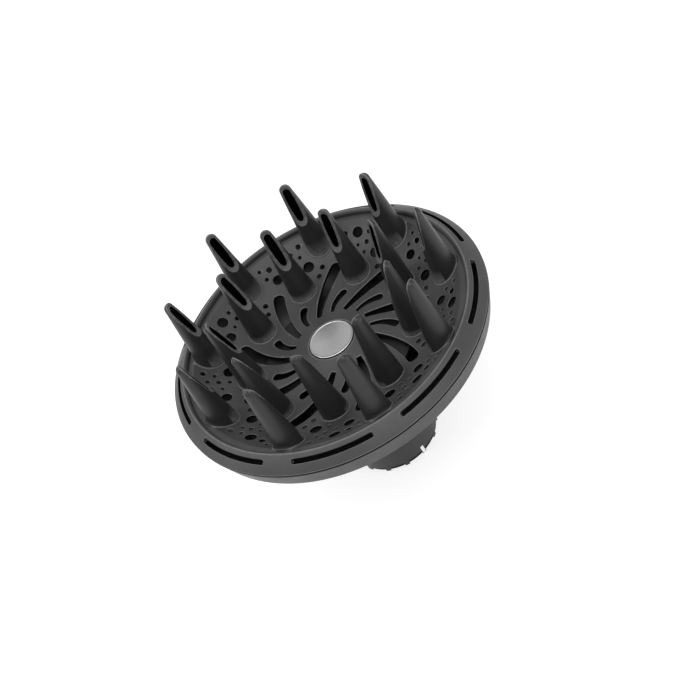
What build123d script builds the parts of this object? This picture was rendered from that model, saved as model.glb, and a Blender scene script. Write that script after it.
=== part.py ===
"""Bowl diffuser for a hair dryer: rear bowl, bezel, finger plate and a turning lock collar.

Millimetres. +Z is up, the axis of the dish. The origin is the centre of the collar's mouth, so the
diffuser stands on the plane Z = 0 with its fingers up. Angles are counted about +Z from +X.
"""

from math import atan, cos, degrees, radians, sin
import os

from build123d import *

os.makedirs("parts", exist_ok=True)

# --- driving dimensions -------------------------------------------------------------------------
FINGER_COUNT = 9                 # fingers in each of the two rings, and sectors of the pattern
PITCH = 360 / FINGER_COUNT
FIRST_OUTER_ANGLE = -90.0        # an outer finger stands at the front
INNER_ANGLE_OFFSET = 18.0        # from an outer finger to the inner one beside it

RIM_Z = 84.5                     # the parting line between bezel and bowl
RIM_RADIUS = 80.0
EDGE = 0.4                       # small chamfer at the bezel's outer edge

# Bezel: a slightly convex conical ring.
BEZEL_INNER_RADIUS = 70.9
BEZEL_RISE = 6.0
BEZEL_CROWN = 0.5                # how far the band bulges over a straight cone
LIP_ROUNDING = 1.5               # the band rolls over into the dish
BEZEL_SLOT_RADIUS = 75.5
BEZEL_SLOT_WIDTH = 2.0
BEZEL_SLOT_ARC = 28.0
HOOK_OUTER_RADIUS = 78.4
HOOK_INNER_RADIUS = 77.0
HOOK_DEPTH = 4.0

# Dish: two parabolas that meet at the trough.
TROUGH_RADIUS = 33.0
TROUGH_Z = RIM_Z - 8.9
INSIDE_CURVE = 0.0052            # rise per square millimetre towards the centre
OUTSIDE_CURVE = 0.0100           # rise per square millimetre towards the rim
HUB_RADIUS = 12.0
PLATE_RADIUS = 73.0
PLATE_FLAT_RADIUS = 68.1         # outside this the plate's edge is flat, under the bezel's lip
PLATE_THICKNESS = 1.8
PAD_HEIGHT = 0.5                 # raised seat under each finger
PAD_RADIUS = 7.4
BLOCK_Z = 59.5                   # underside of the block that shapes the fingers' feet

# Bowl: skirt, funnel and neck.
SKIRT_DEPTH = 10.7
SKIRT_LOWER_RADIUS = 77.2
SKIRT_FLARE = 0.2                # the skirt is this much wider above its chamfer
SKIRT_CHAMFER = 0.8              # round the skirt's lower edge
SKIRT_CLEARANCE = 0.05           # between the bezel's hook and the skirt
FLOOR_INSET = 1.6                # from the skirt's lower edge in to the bowl's outer flank
FLOOR_DROP = 0.9
INNER_FLOOR_INSET = 2.0          # the same for the bowl's inside
INNER_FLOOR_RISE = 1.8
GROOVE = 1.0                     # open parting groove
LUG_ANGLE = 9.0                  # lugs that carry the plate and the bezel
LUG_INNER_RADIUS = 71.6
LUG_OUTER_RADIUS = 78.0
LUG_THICKNESS = 2.5
NECK_RADIUS = 20.94
NECK_BORE_RADIUS = 18.4
NECK_END_Z = 19.3
THROAT_STEP = 1.0                # the funnel's inside opens this far above its outside
THROAT_FLARE = 2.0               # how soon it opens above the neck
FUNNEL_DEPTH = 25.0              # depth of the funnel's outer flank below the rim, at mid radius
FUNNEL_RADIUS = 52.0
FUNNEL_WALL = 1.5
FUNNEL_FOOT = 3.0                # straight run of the flank above the shoulder
FUNNEL_FOOT_DEPTH = 27.0         # depth below the rim of the flank's bend into that run
SHOULDER_RADIUS = 23.3
SHOULDER_GAP = 0.3               # from the collar's top to the shoulder above it

# Lock collar.
COLLAR_RADIUS = 23.5
COLLAR_BORE_RADIUS = 20.5        # takes the dryer's outlet
COLLAR_BORE_LENGTH = 19.0
COLLAR_RUN_RADIUS = 21.0         # above the bore the collar runs on the neck
COLLAR_TOP_Z = 33.0
COLLAR_TURN = 30.0               # degrees from locked to released
WINDOW_COUNT = 14
WINDOW_HEIGHT = 2.4
WINDOW_DEPTH = 0.7
WINDOW_RIB_ANGLE = 6.2
MARK_ANGLE = -72.0               # in line with an inner finger
MARK_LENGTH = 5.0
MARK_WIDTH = 1.8
MARK_DEPTH = 0.4
STOP_ANGLE = 90.0                # the stop lug hangs at the back
STOP_LUG_ANGLE = 12.0
STOP_CLEARANCE_ANGLE = 1.0
STOP_HEIGHT = 3.0
STOP_ROOT = 0.5                  # how deep the lug is rooted in the neck
SNAP_RING_Z = 25.3
SNAP_RING_INNER_RADIUS = 20.44
SNAP_RING_OUTER_RADIUS = 21.8
SNAP_RING_THICKNESS = 1.0
SNAP_RING_CLEARANCE = 0.3
SNAP_RING_OPENING = 24.0         # degrees
BAND_INNER_RADIUS = 22.2
BAND_LIFT = 0.3
BAYONET_COUNT = 2
BAYONET_WIDTH_ANGLE = 13.0
BAYONET_TURN = 20.0
BAYONET_DEPTH = 1.0
BAYONET_Z = 9.0
BAYONET_HEIGHT = 3.0
OVERCUT = 1.0                    # how far the collar's cuts reach past its faces

# Fingers.
OUTER_RING_RADIUS = 62.3
INNER_RING_RADIUS = 42.4
INNER_LEAN = 1.9                 # degrees outwards
OUTER_TIP_Z = RIM_Z + 40.0
INNER_TIP_Z = RIM_Z + 34.8
FINGER_LENGTH = 45.0             # before its foot is shaped to the dish
FINGER_BASE_RADIUS = 7.0
FINGER_TIP_RADIUS = 3.0
FINGER_WALL = 1.1
TIP_WALL = 2.4                   # above the cavity's round end
SCOOP_LENGTH = 23.5              # from the tip down to the low end of the scoop
SCOOP_TIP_OFFSET = 0.3           # how far past the finger's axis the scoop starts at the tip
SCOOP_BEND_LENGTH = 19.0         # below this the scoop's flat cut curves out to the finger's face
SCOOP_BEND_X = -3.0
SCOOP_CONTROL_LENGTH = 21.3      # control point of that curve
SCOOP_CONTROL_X = -3.4
OUTER_FOOT_HEIGHT = 10.5         # solid foot round the spigot's bore
INNER_FOOT_HEIGHT = 5.0
SPIGOT_RADIUS = 4.95
SPIGOT_HOLE_RADIUS = 5.0
SPIGOT_BORE_RADIUS = 4.1
SPIGOT_LENGTH = 2.0

# Badge and hub.
BADGE_RADIUS = 11.3
BADGE_GAP = 0.4
BADGE_THICKNESS = 1.6
BADGE_PROUD = 0.5
BADGE_ROUNDING = 0.4
HUB_BOSS_RADIUS = 14.5
HUB_BOSS_DEPTH = 7.0
HUB_EXTRA_THICKNESS = 0.6        # the plate is this much thicker beside the boss
STUD_RADIUS = 1.5
CLIP_RADIUS = 4.0
CLIP_THICKNESS = 0.6

# Spreader and its screws.
SPREADER_GAP = 3.5               # from the plate's underside to the spreader's rim
SPREADER_RADIUS = 38.0
SPREADER_WALL = 1.6
SPREADER_HUB_RADIUS = 14.0
SPREADER_NOSE_Z = RIM_Z - 34.0
NOSE_FLAT_RADIUS = 1.5
NOSE_INNER_BEND = (7.0, SPREADER_NOSE_Z + 10)   # control points of the nose's curves
NOSE_OUTER_BEND = (12.0, SPREADER_NOSE_Z + 8)
FLANK_BEND_RADIUS = 20.0
FLANK_BEND_DROP = 4.0
CLIP_POCKET_RADIUS = 5.0
VANE_CLEARANCE = 0.3
SCREW_COUNT = 3
SCREW_CIRCLE_RADIUS = 8.5
SCREW_RADIUS = 1.25
SCREW_CLEARANCE = 0.15
SCREW_LENGTH = 7.0
SCREW_HEAD_RADIUS = 2.5
SCREW_HEAD_HEIGHT = 1.8

# Round holes of one sector: ring radius, degrees clockwise from the outer finger, hole radius.
PLATE_HOLES = [
    (64.4, 9.5, 0.95), (59.6, 9.8, 1.05), (62.4, 13.6, 1.5), (56.0, 13.8, 2.6), (62.4, 19.9, 2.8),
    (56.6, 20.2, 0.9), (62.4, 25.6, 1.1), (57.8, 25.0, 1.25), (53.0, 24.2, 1.0), (59.4, 29.0, 1.0),
    (64.2, 30.4, 1.4), (53.1, 31.2, 2.9), (50.2, 38.6, 1.4), (46.0, 35.2, 1.4),
]
# Swirl slots: ring radius, degrees clockwise from the outer finger, half width.
LONG_SLOT = [(19.4, 22.5, 1.3), (27.0, 29.8, 2.0), (35.0, 36.5, 2.6), (47.2, 46.4, 2.95)]
SHORT_SLOT = [(19.2, 3.8, 0.9), (26.0, 7.0, 1.5), (31.4, 13.6, 1.95)]
# Guide vanes of the spreader, given the same way.
VANE = [(15.5, 12.0, 0.7), (26.0, 21.0, 0.7), (36.0, 31.0, 0.7)]

outer_angles = [FIRST_OUTER_ANGLE + PITCH * k for k in range(FINGER_COUNT)]
inner_angles = [angle + INNER_ANGLE_OFFSET for angle in outer_angles]


def polar(radius, angle):
    """The point at this radius and angle in the XY plane."""
    return (radius * cos(radians(angle)), radius * sin(radians(angle)))


def dish_z(radius):
    """Height of the dish's upper face."""
    curve = INSIDE_CURVE if radius < TROUGH_RADIUS else OUTSIDE_CURVE
    return TROUGH_Z + curve * (max(radius, HUB_RADIUS) - TROUGH_RADIUS) ** 2


def dish_tilt(radius):
    """Degrees by which the dish's upper face slopes up outwards."""
    return degrees(atan(2 * OUTSIDE_CURVE * max(radius - TROUGH_RADIUS, 0)))


def dish_curve(lift, outer_radius):
    """The dish's upper face from the axis outwards, lifted, as three edges of a profile."""
    hub_z = dish_z(HUB_RADIUS) + lift
    trough_z = TROUGH_Z + lift
    rim_z = dish_z(outer_radius) + lift
    Line((0, hub_z), (HUB_RADIUS, hub_z))
    Bezier((HUB_RADIUS, hub_z), ((HUB_RADIUS + TROUGH_RADIUS) / 2, trough_z), (TROUGH_RADIUS, trough_z))
    Bezier((TROUGH_RADIUS, trough_z), ((TROUGH_RADIUS + outer_radius) / 2, trough_z), (outer_radius, rim_z))


def ring_sector(inner_radius, outer_radius, start, turn):
    """A sector of a ring, from a start angle through a turn, as a sketch on its own."""
    with BuildSketch() as sector:
        with BuildLine():
            inner = CenterArc((0, 0), inner_radius, start, turn)
            outer = CenterArc((0, 0), outer_radius, start, turn)
            Line(inner @ 0, outer @ 0)
            Line(inner @ 1, outer @ 1)
        make_face()
    return sector.sketch


def save(piece, name):
    """Label a finished piece and write its STEP file."""
    piece.part.label = name
    export_step(piece.part, f"parts/{name}.step")


# --- bezel ring ---------------------------------------------------------------------------------
lip_z = RIM_Z + BEZEL_RISE
seat_z = dish_z(PLATE_FLAT_RADIUS)        # the plate's flat edge, under the lip
band_middle_radius = (RIM_RADIUS + BEZEL_INNER_RADIUS) / 2

with BuildPart() as bezel_ring:
    with BuildSketch(Plane.XZ) as bezel_profile:
        with BuildLine():
            ThreePointArc(
                (RIM_RADIUS, RIM_Z + EDGE),
                (band_middle_radius, RIM_Z + BEZEL_RISE / 2 + BEZEL_CROWN),
                (BEZEL_INNER_RADIUS + LIP_ROUNDING, lip_z),
            )
            RadiusArc(
                (BEZEL_INNER_RADIUS, lip_z - LIP_ROUNDING),
                (BEZEL_INNER_RADIUS + LIP_ROUNDING, lip_z),
                LIP_ROUNDING,
            )
            Polyline(
                (BEZEL_INNER_RADIUS, lip_z - LIP_ROUNDING),
                (BEZEL_INNER_RADIUS, seat_z),
                (PLATE_RADIUS, seat_z),
                (HOOK_INNER_RADIUS, RIM_Z + EDGE),
                (HOOK_INNER_RADIUS, RIM_Z - HOOK_DEPTH),
                (HOOK_OUTER_RADIUS, RIM_Z - HOOK_DEPTH),
                (HOOK_OUTER_RADIUS, RIM_Z),
                (RIM_RADIUS - EDGE, RIM_Z),
                (RIM_RADIUS, RIM_Z + EDGE),
            )
        make_face()
    revolve(axis=Axis.Z)
    with BuildSketch(Plane.XY.offset(RIM_Z)):
        with PolarLocations(0, FINGER_COUNT, start_angle=FIRST_OUTER_ANGLE + PITCH / 2):
            SlotArc(
                CenterArc((0, 0), BEZEL_SLOT_RADIUS, -BEZEL_SLOT_ARC / 2, BEZEL_SLOT_ARC, mode=Mode.PRIVATE),
                BEZEL_SLOT_WIDTH,
            )
    extrude(amount=2 * BEZEL_RISE, mode=Mode.SUBTRACT)
save(bezel_ring, "bezel_ring")


# --- helpers for the dish -----------------------------------------------------------------------
with BuildPart() as dish_block:
    # Everything under the tops of the finger pads. It shapes the feet of the fingers.
    with BuildSketch(Plane.XZ):
        with BuildLine():
            dish_curve(PAD_HEIGHT, PLATE_RADIUS)
            Polyline(
                (PLATE_RADIUS, dish_z(PLATE_RADIUS) + PAD_HEIGHT),
                (PLATE_RADIUS, BLOCK_Z),
                (0, BLOCK_Z),
                (0, dish_z(0) + PAD_HEIGHT),
            )
        make_face()
    revolve(axis=Axis.Z)


def finger_place(ring_radius, lean, tip_z, angle):
    """Where a finger stands: its foot's frame, with -X towards the axis of the dish."""
    foot = Location((ring_radius, 0, tip_z - FINGER_LENGTH), (0, lean, 0))
    return Location((0, 0, 0), (0, 0, angle)) * foot


outer_places = [finger_place(OUTER_RING_RADIUS, 0, OUTER_TIP_Z, angle) for angle in outer_angles]
inner_places = [finger_place(INNER_RING_RADIUS, INNER_LEAN, INNER_TIP_Z, angle) for angle in inner_angles]

dish_core = Pos(0, 0, -PAD_HEIGHT - PLATE_THICKNESS / 2) * dish_block.part

with BuildPart() as finger_pads:
    with Locations(*outer_places, *inner_places):
        Cylinder(PAD_RADIUS, FINGER_LENGTH)
    add(dish_block.part, mode=Mode.INTERSECT)
    add(dish_core, mode=Mode.SUBTRACT)


def hole_place(radius, angle):
    """Where a round hole stands: square to the dish's surface."""
    tilted = Location((radius, 0, dish_z(radius)), (0, -dish_tilt(radius), 0))
    return Location((0, 0, 0), (0, 0, angle)) * tilted


def swirl_outline(stations):
    """Edges of a swirl slot or vane: square at its inner end, round at the outer one."""
    middles = [Vector(*polar(radius, -offset)) for radius, offset, _ in stations]
    centre_line = Spline(*middles, mode=Mode.PRIVATE)
    left = []
    right = []
    for middle, (_, _, half_width) in zip(middles, stations):
        sideways = centre_line.tangent_at(middle).rotate(Axis.Z, 90) * half_width
        left.append(middle + sideways)
        right.append(middle - sideways)
    end = middles[-1] + (centre_line % 1) * stations[-1][2]
    Spline(*left)
    ThreePointArc(left[-1], end, right[-1])
    Spline(*right)
    Line(left[0], right[0])


with BuildSketch() as long_slot:
    with BuildLine():
        swirl_outline(LONG_SLOT)
    make_face()

with BuildSketch() as short_slot:
    with BuildLine():
        swirl_outline(SHORT_SLOT)
    make_face()

with BuildSketch() as vane:
    with BuildLine():
        swirl_outline(VANE)
    make_face()

# --- face plate ---------------------------------------------------------------------------------
hub_z = dish_z(HUB_RADIUS)
badge_floor_z = hub_z + BADGE_PROUD - BADGE_THICKNESS
boss_z = hub_z - HUB_BOSS_DEPTH
rim_inner_radius = PLATE_RADIUS - PLATE_THICKNESS

with BuildPart() as face_plate:
    with BuildSketch(Plane.XZ):
        with BuildLine():
            dish_curve(0, PLATE_FLAT_RADIUS)
            Polyline(
                (PLATE_FLAT_RADIUS, seat_z),
                (PLATE_RADIUS, seat_z),
                (PLATE_RADIUS, RIM_Z - HOOK_DEPTH),
                (rim_inner_radius, RIM_Z - HOOK_DEPTH),
                (rim_inner_radius, seat_z - PLATE_THICKNESS),
                (PLATE_FLAT_RADIUS, seat_z - PLATE_THICKNESS),
            )
            Bezier(
                (PLATE_FLAT_RADIUS, seat_z - PLATE_THICKNESS),
                ((TROUGH_RADIUS + PLATE_FLAT_RADIUS) / 2, TROUGH_Z - PLATE_THICKNESS),
                (TROUGH_RADIUS, TROUGH_Z - PLATE_THICKNESS),
            )
            Polyline(
                (TROUGH_RADIUS, TROUGH_Z - PLATE_THICKNESS),
                (HUB_BOSS_RADIUS, hub_z - PLATE_THICKNESS - HUB_EXTRA_THICKNESS),
                (HUB_BOSS_RADIUS, boss_z),
                (0, boss_z),
                (0, hub_z),
            )
        make_face()
    revolve(axis=Axis.Z)
    add(finger_pads.part)
    with BuildSketch(Plane.XY.offset(BLOCK_Z)):
        with PolarLocations(0, FINGER_COUNT, start_angle=FIRST_OUTER_ANGLE):
            add(long_slot.sketch)
            add(short_slot.sketch)
    extrude(amount=OUTER_TIP_Z - BLOCK_Z, mode=Mode.SUBTRACT)
    for radius, offset, hole_radius in PLATE_HOLES:
        with Locations(*[hole_place(radius, angle - offset) for angle in outer_angles]):
            Cylinder(hole_radius, 4 * PLATE_THICKNESS, mode=Mode.SUBTRACT)
    with Locations(*outer_places, *inner_places):
        Cylinder(SPIGOT_HOLE_RADIUS, FINGER_LENGTH, mode=Mode.SUBTRACT)
    with BuildSketch(Plane.XY.offset(badge_floor_z)):
        Circle(BADGE_RADIUS + BADGE_GAP)
    extrude(amount=BADGE_THICKNESS, mode=Mode.SUBTRACT)
    with BuildSketch(Plane.XY.offset(boss_z)):
        Circle(STUD_RADIUS)
        with PolarLocations(SCREW_CIRCLE_RADIUS, SCREW_COUNT):
            Circle(SCREW_RADIUS)
    extrude(amount=HUB_BOSS_DEPTH - BADGE_THICKNESS, mode=Mode.SUBTRACT)
    with BuildSketch(Plane.XY.offset(boss_z)):
        Circle(STUD_RADIUS)
    extrude(amount=HUB_BOSS_DEPTH, mode=Mode.SUBTRACT)
save(face_plate, "face_plate")


# --- fingers ------------------------------------------------------------------------------------
finger_shoulder = FINGER_LENGTH - FINGER_TIP_RADIUS
finger_taper = (FINGER_BASE_RADIUS - FINGER_TIP_RADIUS) / finger_shoulder


def finger_radius(height):
    """Outer radius of a finger's cone at this height above its foot."""
    return FINGER_BASE_RADIUS - finger_taper * height


def finger_shell(foot_height):
    """A hollow finger on its own axis: cone, round tip, solid foot and slanted scoop."""
    inner_tip = FINGER_TIP_RADIUS - FINGER_WALL
    scoop_low = (-finger_radius(FINGER_LENGTH - SCOOP_LENGTH), FINGER_LENGTH - SCOOP_LENGTH)
    scoop_bend = (SCOOP_BEND_X, FINGER_LENGTH - SCOOP_BEND_LENGTH)
    foot_inner_radius = finger_radius(foot_height) - FINGER_WALL
    cavity_top = FINGER_LENGTH - TIP_WALL
    cavity_shoulder = cavity_top - inner_tip
    with BuildPart() as shell:
        with BuildSketch(Plane.XZ):
            with BuildLine():
                Polyline(
                    (0, FINGER_LENGTH),
                    (0, 0),
                    (FINGER_BASE_RADIUS, 0),
                    (FINGER_TIP_RADIUS, finger_shoulder),
                )
                RadiusArc((FINGER_TIP_RADIUS, finger_shoulder), (0, FINGER_LENGTH), -FINGER_TIP_RADIUS)
            make_face()
        revolve(axis=Axis.Z)
        with BuildSketch(Plane.XZ):
            with BuildLine():
                Polyline(
                    (0, cavity_top),
                    (0, foot_height),
                    (foot_inner_radius, foot_height),
                    (inner_tip, cavity_shoulder),
                )
                RadiusArc((inner_tip, cavity_shoulder), (0, cavity_top), -inner_tip)
            make_face()
        revolve(axis=Axis.Z, mode=Mode.SUBTRACT)
        with BuildSketch(Plane.XZ):
            with BuildLine():
                Polyline(
                    scoop_low,
                    (-FINGER_BASE_RADIUS, scoop_low[1]),
                    (-FINGER_BASE_RADIUS, FINGER_LENGTH),
                    (SCOOP_TIP_OFFSET, FINGER_LENGTH),
                    scoop_bend,
                )
                Bezier(scoop_bend, (SCOOP_CONTROL_X, FINGER_LENGTH - SCOOP_CONTROL_LENGTH), scoop_low)
            make_face()
        extrude(amount=FINGER_BASE_RADIUS, both=True, mode=Mode.SUBTRACT)
    return shell.part


def save_finger(shell, foot_height, place, name):
    """Stand a finger in its place, shape its foot to the dish, add its spigot and save it."""
    spigot_height = SPIGOT_LENGTH + foot_height
    with BuildPart() as finger:
        add(place * shell)
        add(dish_block.part, mode=Mode.SUBTRACT)
        with Locations(place * Location((0, 0, foot_height - spigot_height / 2))):
            Cylinder(SPIGOT_RADIUS, spigot_height)
            Cylinder(SPIGOT_BORE_RADIUS, spigot_height, mode=Mode.SUBTRACT)
    save(finger, name)


outer_shell = finger_shell(OUTER_FOOT_HEIGHT)
inner_shell = finger_shell(INNER_FOOT_HEIGHT)
for number, place in enumerate(outer_places, start=1):
    save_finger(outer_shell, OUTER_FOOT_HEIGHT, place, f"outer_finger_{number}")
for number, place in enumerate(inner_places, start=1):
    save_finger(inner_shell, INNER_FOOT_HEIGHT, place, f"inner_finger_{number}")

# --- badge and its clip -------------------------------------------------------------------------
with BuildPart() as badge:
    with BuildSketch(Plane.XY.offset(badge_floor_z)):
        Circle(BADGE_RADIUS)
    extrude(amount=BADGE_THICKNESS)
    fillet(badge.faces().sort_by(Axis.Z)[-1].edges(), BADGE_ROUNDING)
    with BuildSketch(Plane.XY.offset(badge_floor_z)):
        Circle(STUD_RADIUS)
    extrude(amount=-(HUB_BOSS_DEPTH + CLIP_THICKNESS))
save(badge, "badge")

with BuildPart() as badge_clip:
    with BuildSketch(Plane.XY.offset(boss_z - CLIP_THICKNESS)):
        Circle(CLIP_RADIUS)
        Circle(STUD_RADIUS, mode=Mode.SUBTRACT)
    extrude(amount=CLIP_THICKNESS)
save(badge_clip, "badge_clip")

# --- air spreader and its screws ----------------------------------------------------------------
spreader_rim_z = dish_z(SPREADER_RADIUS) - PLATE_THICKNESS - SPREADER_GAP
vane_top_z = TROUGH_Z - PLATE_THICKNESS - VANE_CLEARANCE

with BuildPart() as air_spreader:
    with BuildSketch(Plane.XZ):
        with BuildLine():
            Polyline(
                (SPREADER_RADIUS, spreader_rim_z - SPREADER_WALL),
                (SPREADER_RADIUS, spreader_rim_z),
                (SPREADER_HUB_RADIUS, boss_z),
                (CLIP_POCKET_RADIUS, boss_z),
                (CLIP_POCKET_RADIUS, boss_z - SPREADER_WALL),
                (SPREADER_HUB_RADIUS - SPREADER_WALL, boss_z - SPREADER_WALL),
            )
            Bezier(
                (SPREADER_HUB_RADIUS - SPREADER_WALL, boss_z - SPREADER_WALL),
                NOSE_INNER_BEND,
                (NOSE_FLAT_RADIUS, SPREADER_NOSE_Z + SPREADER_WALL),
            )
            Polyline(
                (NOSE_FLAT_RADIUS, SPREADER_NOSE_Z + SPREADER_WALL),
                (0, SPREADER_NOSE_Z + SPREADER_WALL),
                (0, SPREADER_NOSE_Z),
                (NOSE_FLAT_RADIUS, SPREADER_NOSE_Z),
            )
            Bezier(
                (NOSE_FLAT_RADIUS, SPREADER_NOSE_Z),
                NOSE_OUTER_BEND,
                (FLANK_BEND_RADIUS, spreader_rim_z - FLANK_BEND_DROP),
                (SPREADER_RADIUS, spreader_rim_z - SPREADER_WALL),
            )
        make_face()
    revolve(axis=Axis.Z)
    with BuildSketch(Plane.XY.offset(spreader_rim_z - SPREADER_WALL / 2)):
        with PolarLocations(0, FINGER_COUNT, start_angle=FIRST_OUTER_ANGLE):
            add(vane.sketch)
    extrude(amount=vane_top_z - spreader_rim_z + SPREADER_WALL / 2)
    with BuildSketch(Plane.XY.offset(boss_z)):
        with PolarLocations(SCREW_CIRCLE_RADIUS, SCREW_COUNT):
            Circle(SCREW_RADIUS + SCREW_CLEARANCE)
    extrude(amount=-SPREADER_WALL, mode=Mode.SUBTRACT)
save(air_spreader, "air_spreader")

with BuildPart() as spreader_screws:
    with BuildSketch(Plane.XY.offset(boss_z - SPREADER_WALL)):
        with PolarLocations(SCREW_CIRCLE_RADIUS, SCREW_COUNT):
            Circle(SCREW_RADIUS)
    extrude(amount=SCREW_LENGTH - SCREW_HEAD_HEIGHT)
    with BuildSketch(Plane.XY.offset(boss_z - SPREADER_WALL)):
        with PolarLocations(SCREW_CIRCLE_RADIUS, SCREW_COUNT):
            Circle(SCREW_HEAD_RADIUS)
    extrude(amount=-SCREW_HEAD_HEIGHT)
save(spreader_screws, "spreader_screws")

# --- index mark, cut into the collar and filled by the inlay ------------------------------------
with BuildPart() as mark_block:
    with BuildSketch(Plane.XY):
        Circle(COLLAR_RADIUS)
        Circle(COLLAR_RADIUS - MARK_DEPTH, mode=Mode.SUBTRACT)
    extrude(amount=MARK_LENGTH)
    with Locations(Location(polar(COLLAR_RADIUS, MARK_ANGLE), (0, 0, MARK_ANGLE))):
        Box(COLLAR_RADIUS, MARK_WIDTH, 2 * MARK_LENGTH, mode=Mode.INTERSECT)

# --- rear bowl ----------------------------------------------------------------------------------
shoulder_z = COLLAR_TOP_Z + SHOULDER_GAP
skirt_z = RIM_Z - SKIRT_DEPTH
inner_skirt_radius = HOOK_OUTER_RADIUS + SKIRT_CLEARANCE
bowl_floor = (SKIRT_LOWER_RADIUS - FLOOR_INSET, skirt_z - FLOOR_DROP)
inner_floor = (SKIRT_LOWER_RADIUS - INNER_FLOOR_INSET, skirt_z + INNER_FLOOR_RISE)
funnel_foot_z = shoulder_z + FUNNEL_FOOT
throat_z = funnel_foot_z + THROAT_STEP
stop_start = STOP_ANGLE - STOP_LUG_ANGLE / 2
groove_floor_radius = SNAP_RING_INNER_RADIUS - SNAP_RING_CLEARANCE
groove_bottom_z = SNAP_RING_Z - SNAP_RING_CLEARANCE
groove_top_z = SNAP_RING_Z + SNAP_RING_THICKNESS + SNAP_RING_CLEARANCE

with BuildPart() as rear_bowl:
    with BuildSketch(Plane.XZ):
        with BuildLine():
            Polyline(
                inner_floor,
                (inner_skirt_radius, RIM_Z - HOOK_DEPTH),
                (inner_skirt_radius, RIM_Z - GROOVE),
                (RIM_RADIUS, RIM_Z - GROOVE),
                (SKIRT_LOWER_RADIUS + SKIRT_FLARE, skirt_z + SKIRT_CHAMFER),
                (SKIRT_LOWER_RADIUS + SKIRT_FLARE - SKIRT_CHAMFER, skirt_z),
                bowl_floor,
            )
            Bezier(
                bowl_floor,
                (FUNNEL_RADIUS, RIM_Z - FUNNEL_DEPTH),
                (SHOULDER_RADIUS, RIM_Z - FUNNEL_FOOT_DEPTH),
                (SHOULDER_RADIUS, funnel_foot_z),
            )
            Polyline(
                (SHOULDER_RADIUS, funnel_foot_z),
                (SHOULDER_RADIUS, shoulder_z),
                (NECK_RADIUS, shoulder_z),
                (NECK_RADIUS, groove_top_z),
                (groove_floor_radius, groove_top_z),
                (groove_floor_radius, groove_bottom_z),
                (NECK_RADIUS, groove_bottom_z),
                (NECK_RADIUS, NECK_END_Z),
                (NECK_BORE_RADIUS, NECK_END_Z),
                (NECK_BORE_RADIUS, throat_z),
            )
            Bezier(
                (NECK_BORE_RADIUS, throat_z),
                (NECK_BORE_RADIUS + THROAT_FLARE, RIM_Z - FUNNEL_DEPTH + FUNNEL_WALL),
                (FUNNEL_RADIUS - THROAT_STEP, RIM_Z - FUNNEL_DEPTH + 2 * FUNNEL_WALL),
                inner_floor,
            )
        make_face()
    revolve(axis=Axis.Z)
    with BuildSketch(Plane.XY.offset(RIM_Z - HOOK_DEPTH - LUG_THICKNESS)):
        with PolarLocations(0, FINGER_COUNT, start_angle=FIRST_OUTER_ANGLE):
            add(ring_sector(LUG_INNER_RADIUS, LUG_OUTER_RADIUS, -LUG_ANGLE / 2, LUG_ANGLE))
    extrude(amount=LUG_THICKNESS)
    with BuildSketch(Plane.XY.offset(shoulder_z - STOP_HEIGHT)):
        add(ring_sector(NECK_RADIUS - STOP_ROOT, SHOULDER_RADIUS, stop_start, STOP_LUG_ANGLE))
    extrude(amount=STOP_HEIGHT)
save(rear_bowl, "rear_bowl")

# --- lock collar --------------------------------------------------------------------------------
window_inner_radius = COLLAR_RADIUS - WINDOW_DEPTH
window_pitch = 360 / WINDOW_COUNT
window_angle = window_pitch - WINDOW_RIB_ANGLE
notch_start = stop_start - COLLAR_TURN - STOP_CLEARANCE_ANGLE
notch_angle = STOP_LUG_ANGLE + COLLAR_TURN + 2 * STOP_CLEARANCE_ANGLE
bayonet_radius = COLLAR_BORE_RADIUS + BAYONET_DEPTH
bayonet_slot_angle = BAYONET_WIDTH_ANGLE + BAYONET_TURN
bayonet_angles = [180 / BAYONET_COUNT + 360 / BAYONET_COUNT * k for k in range(BAYONET_COUNT)]

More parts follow.
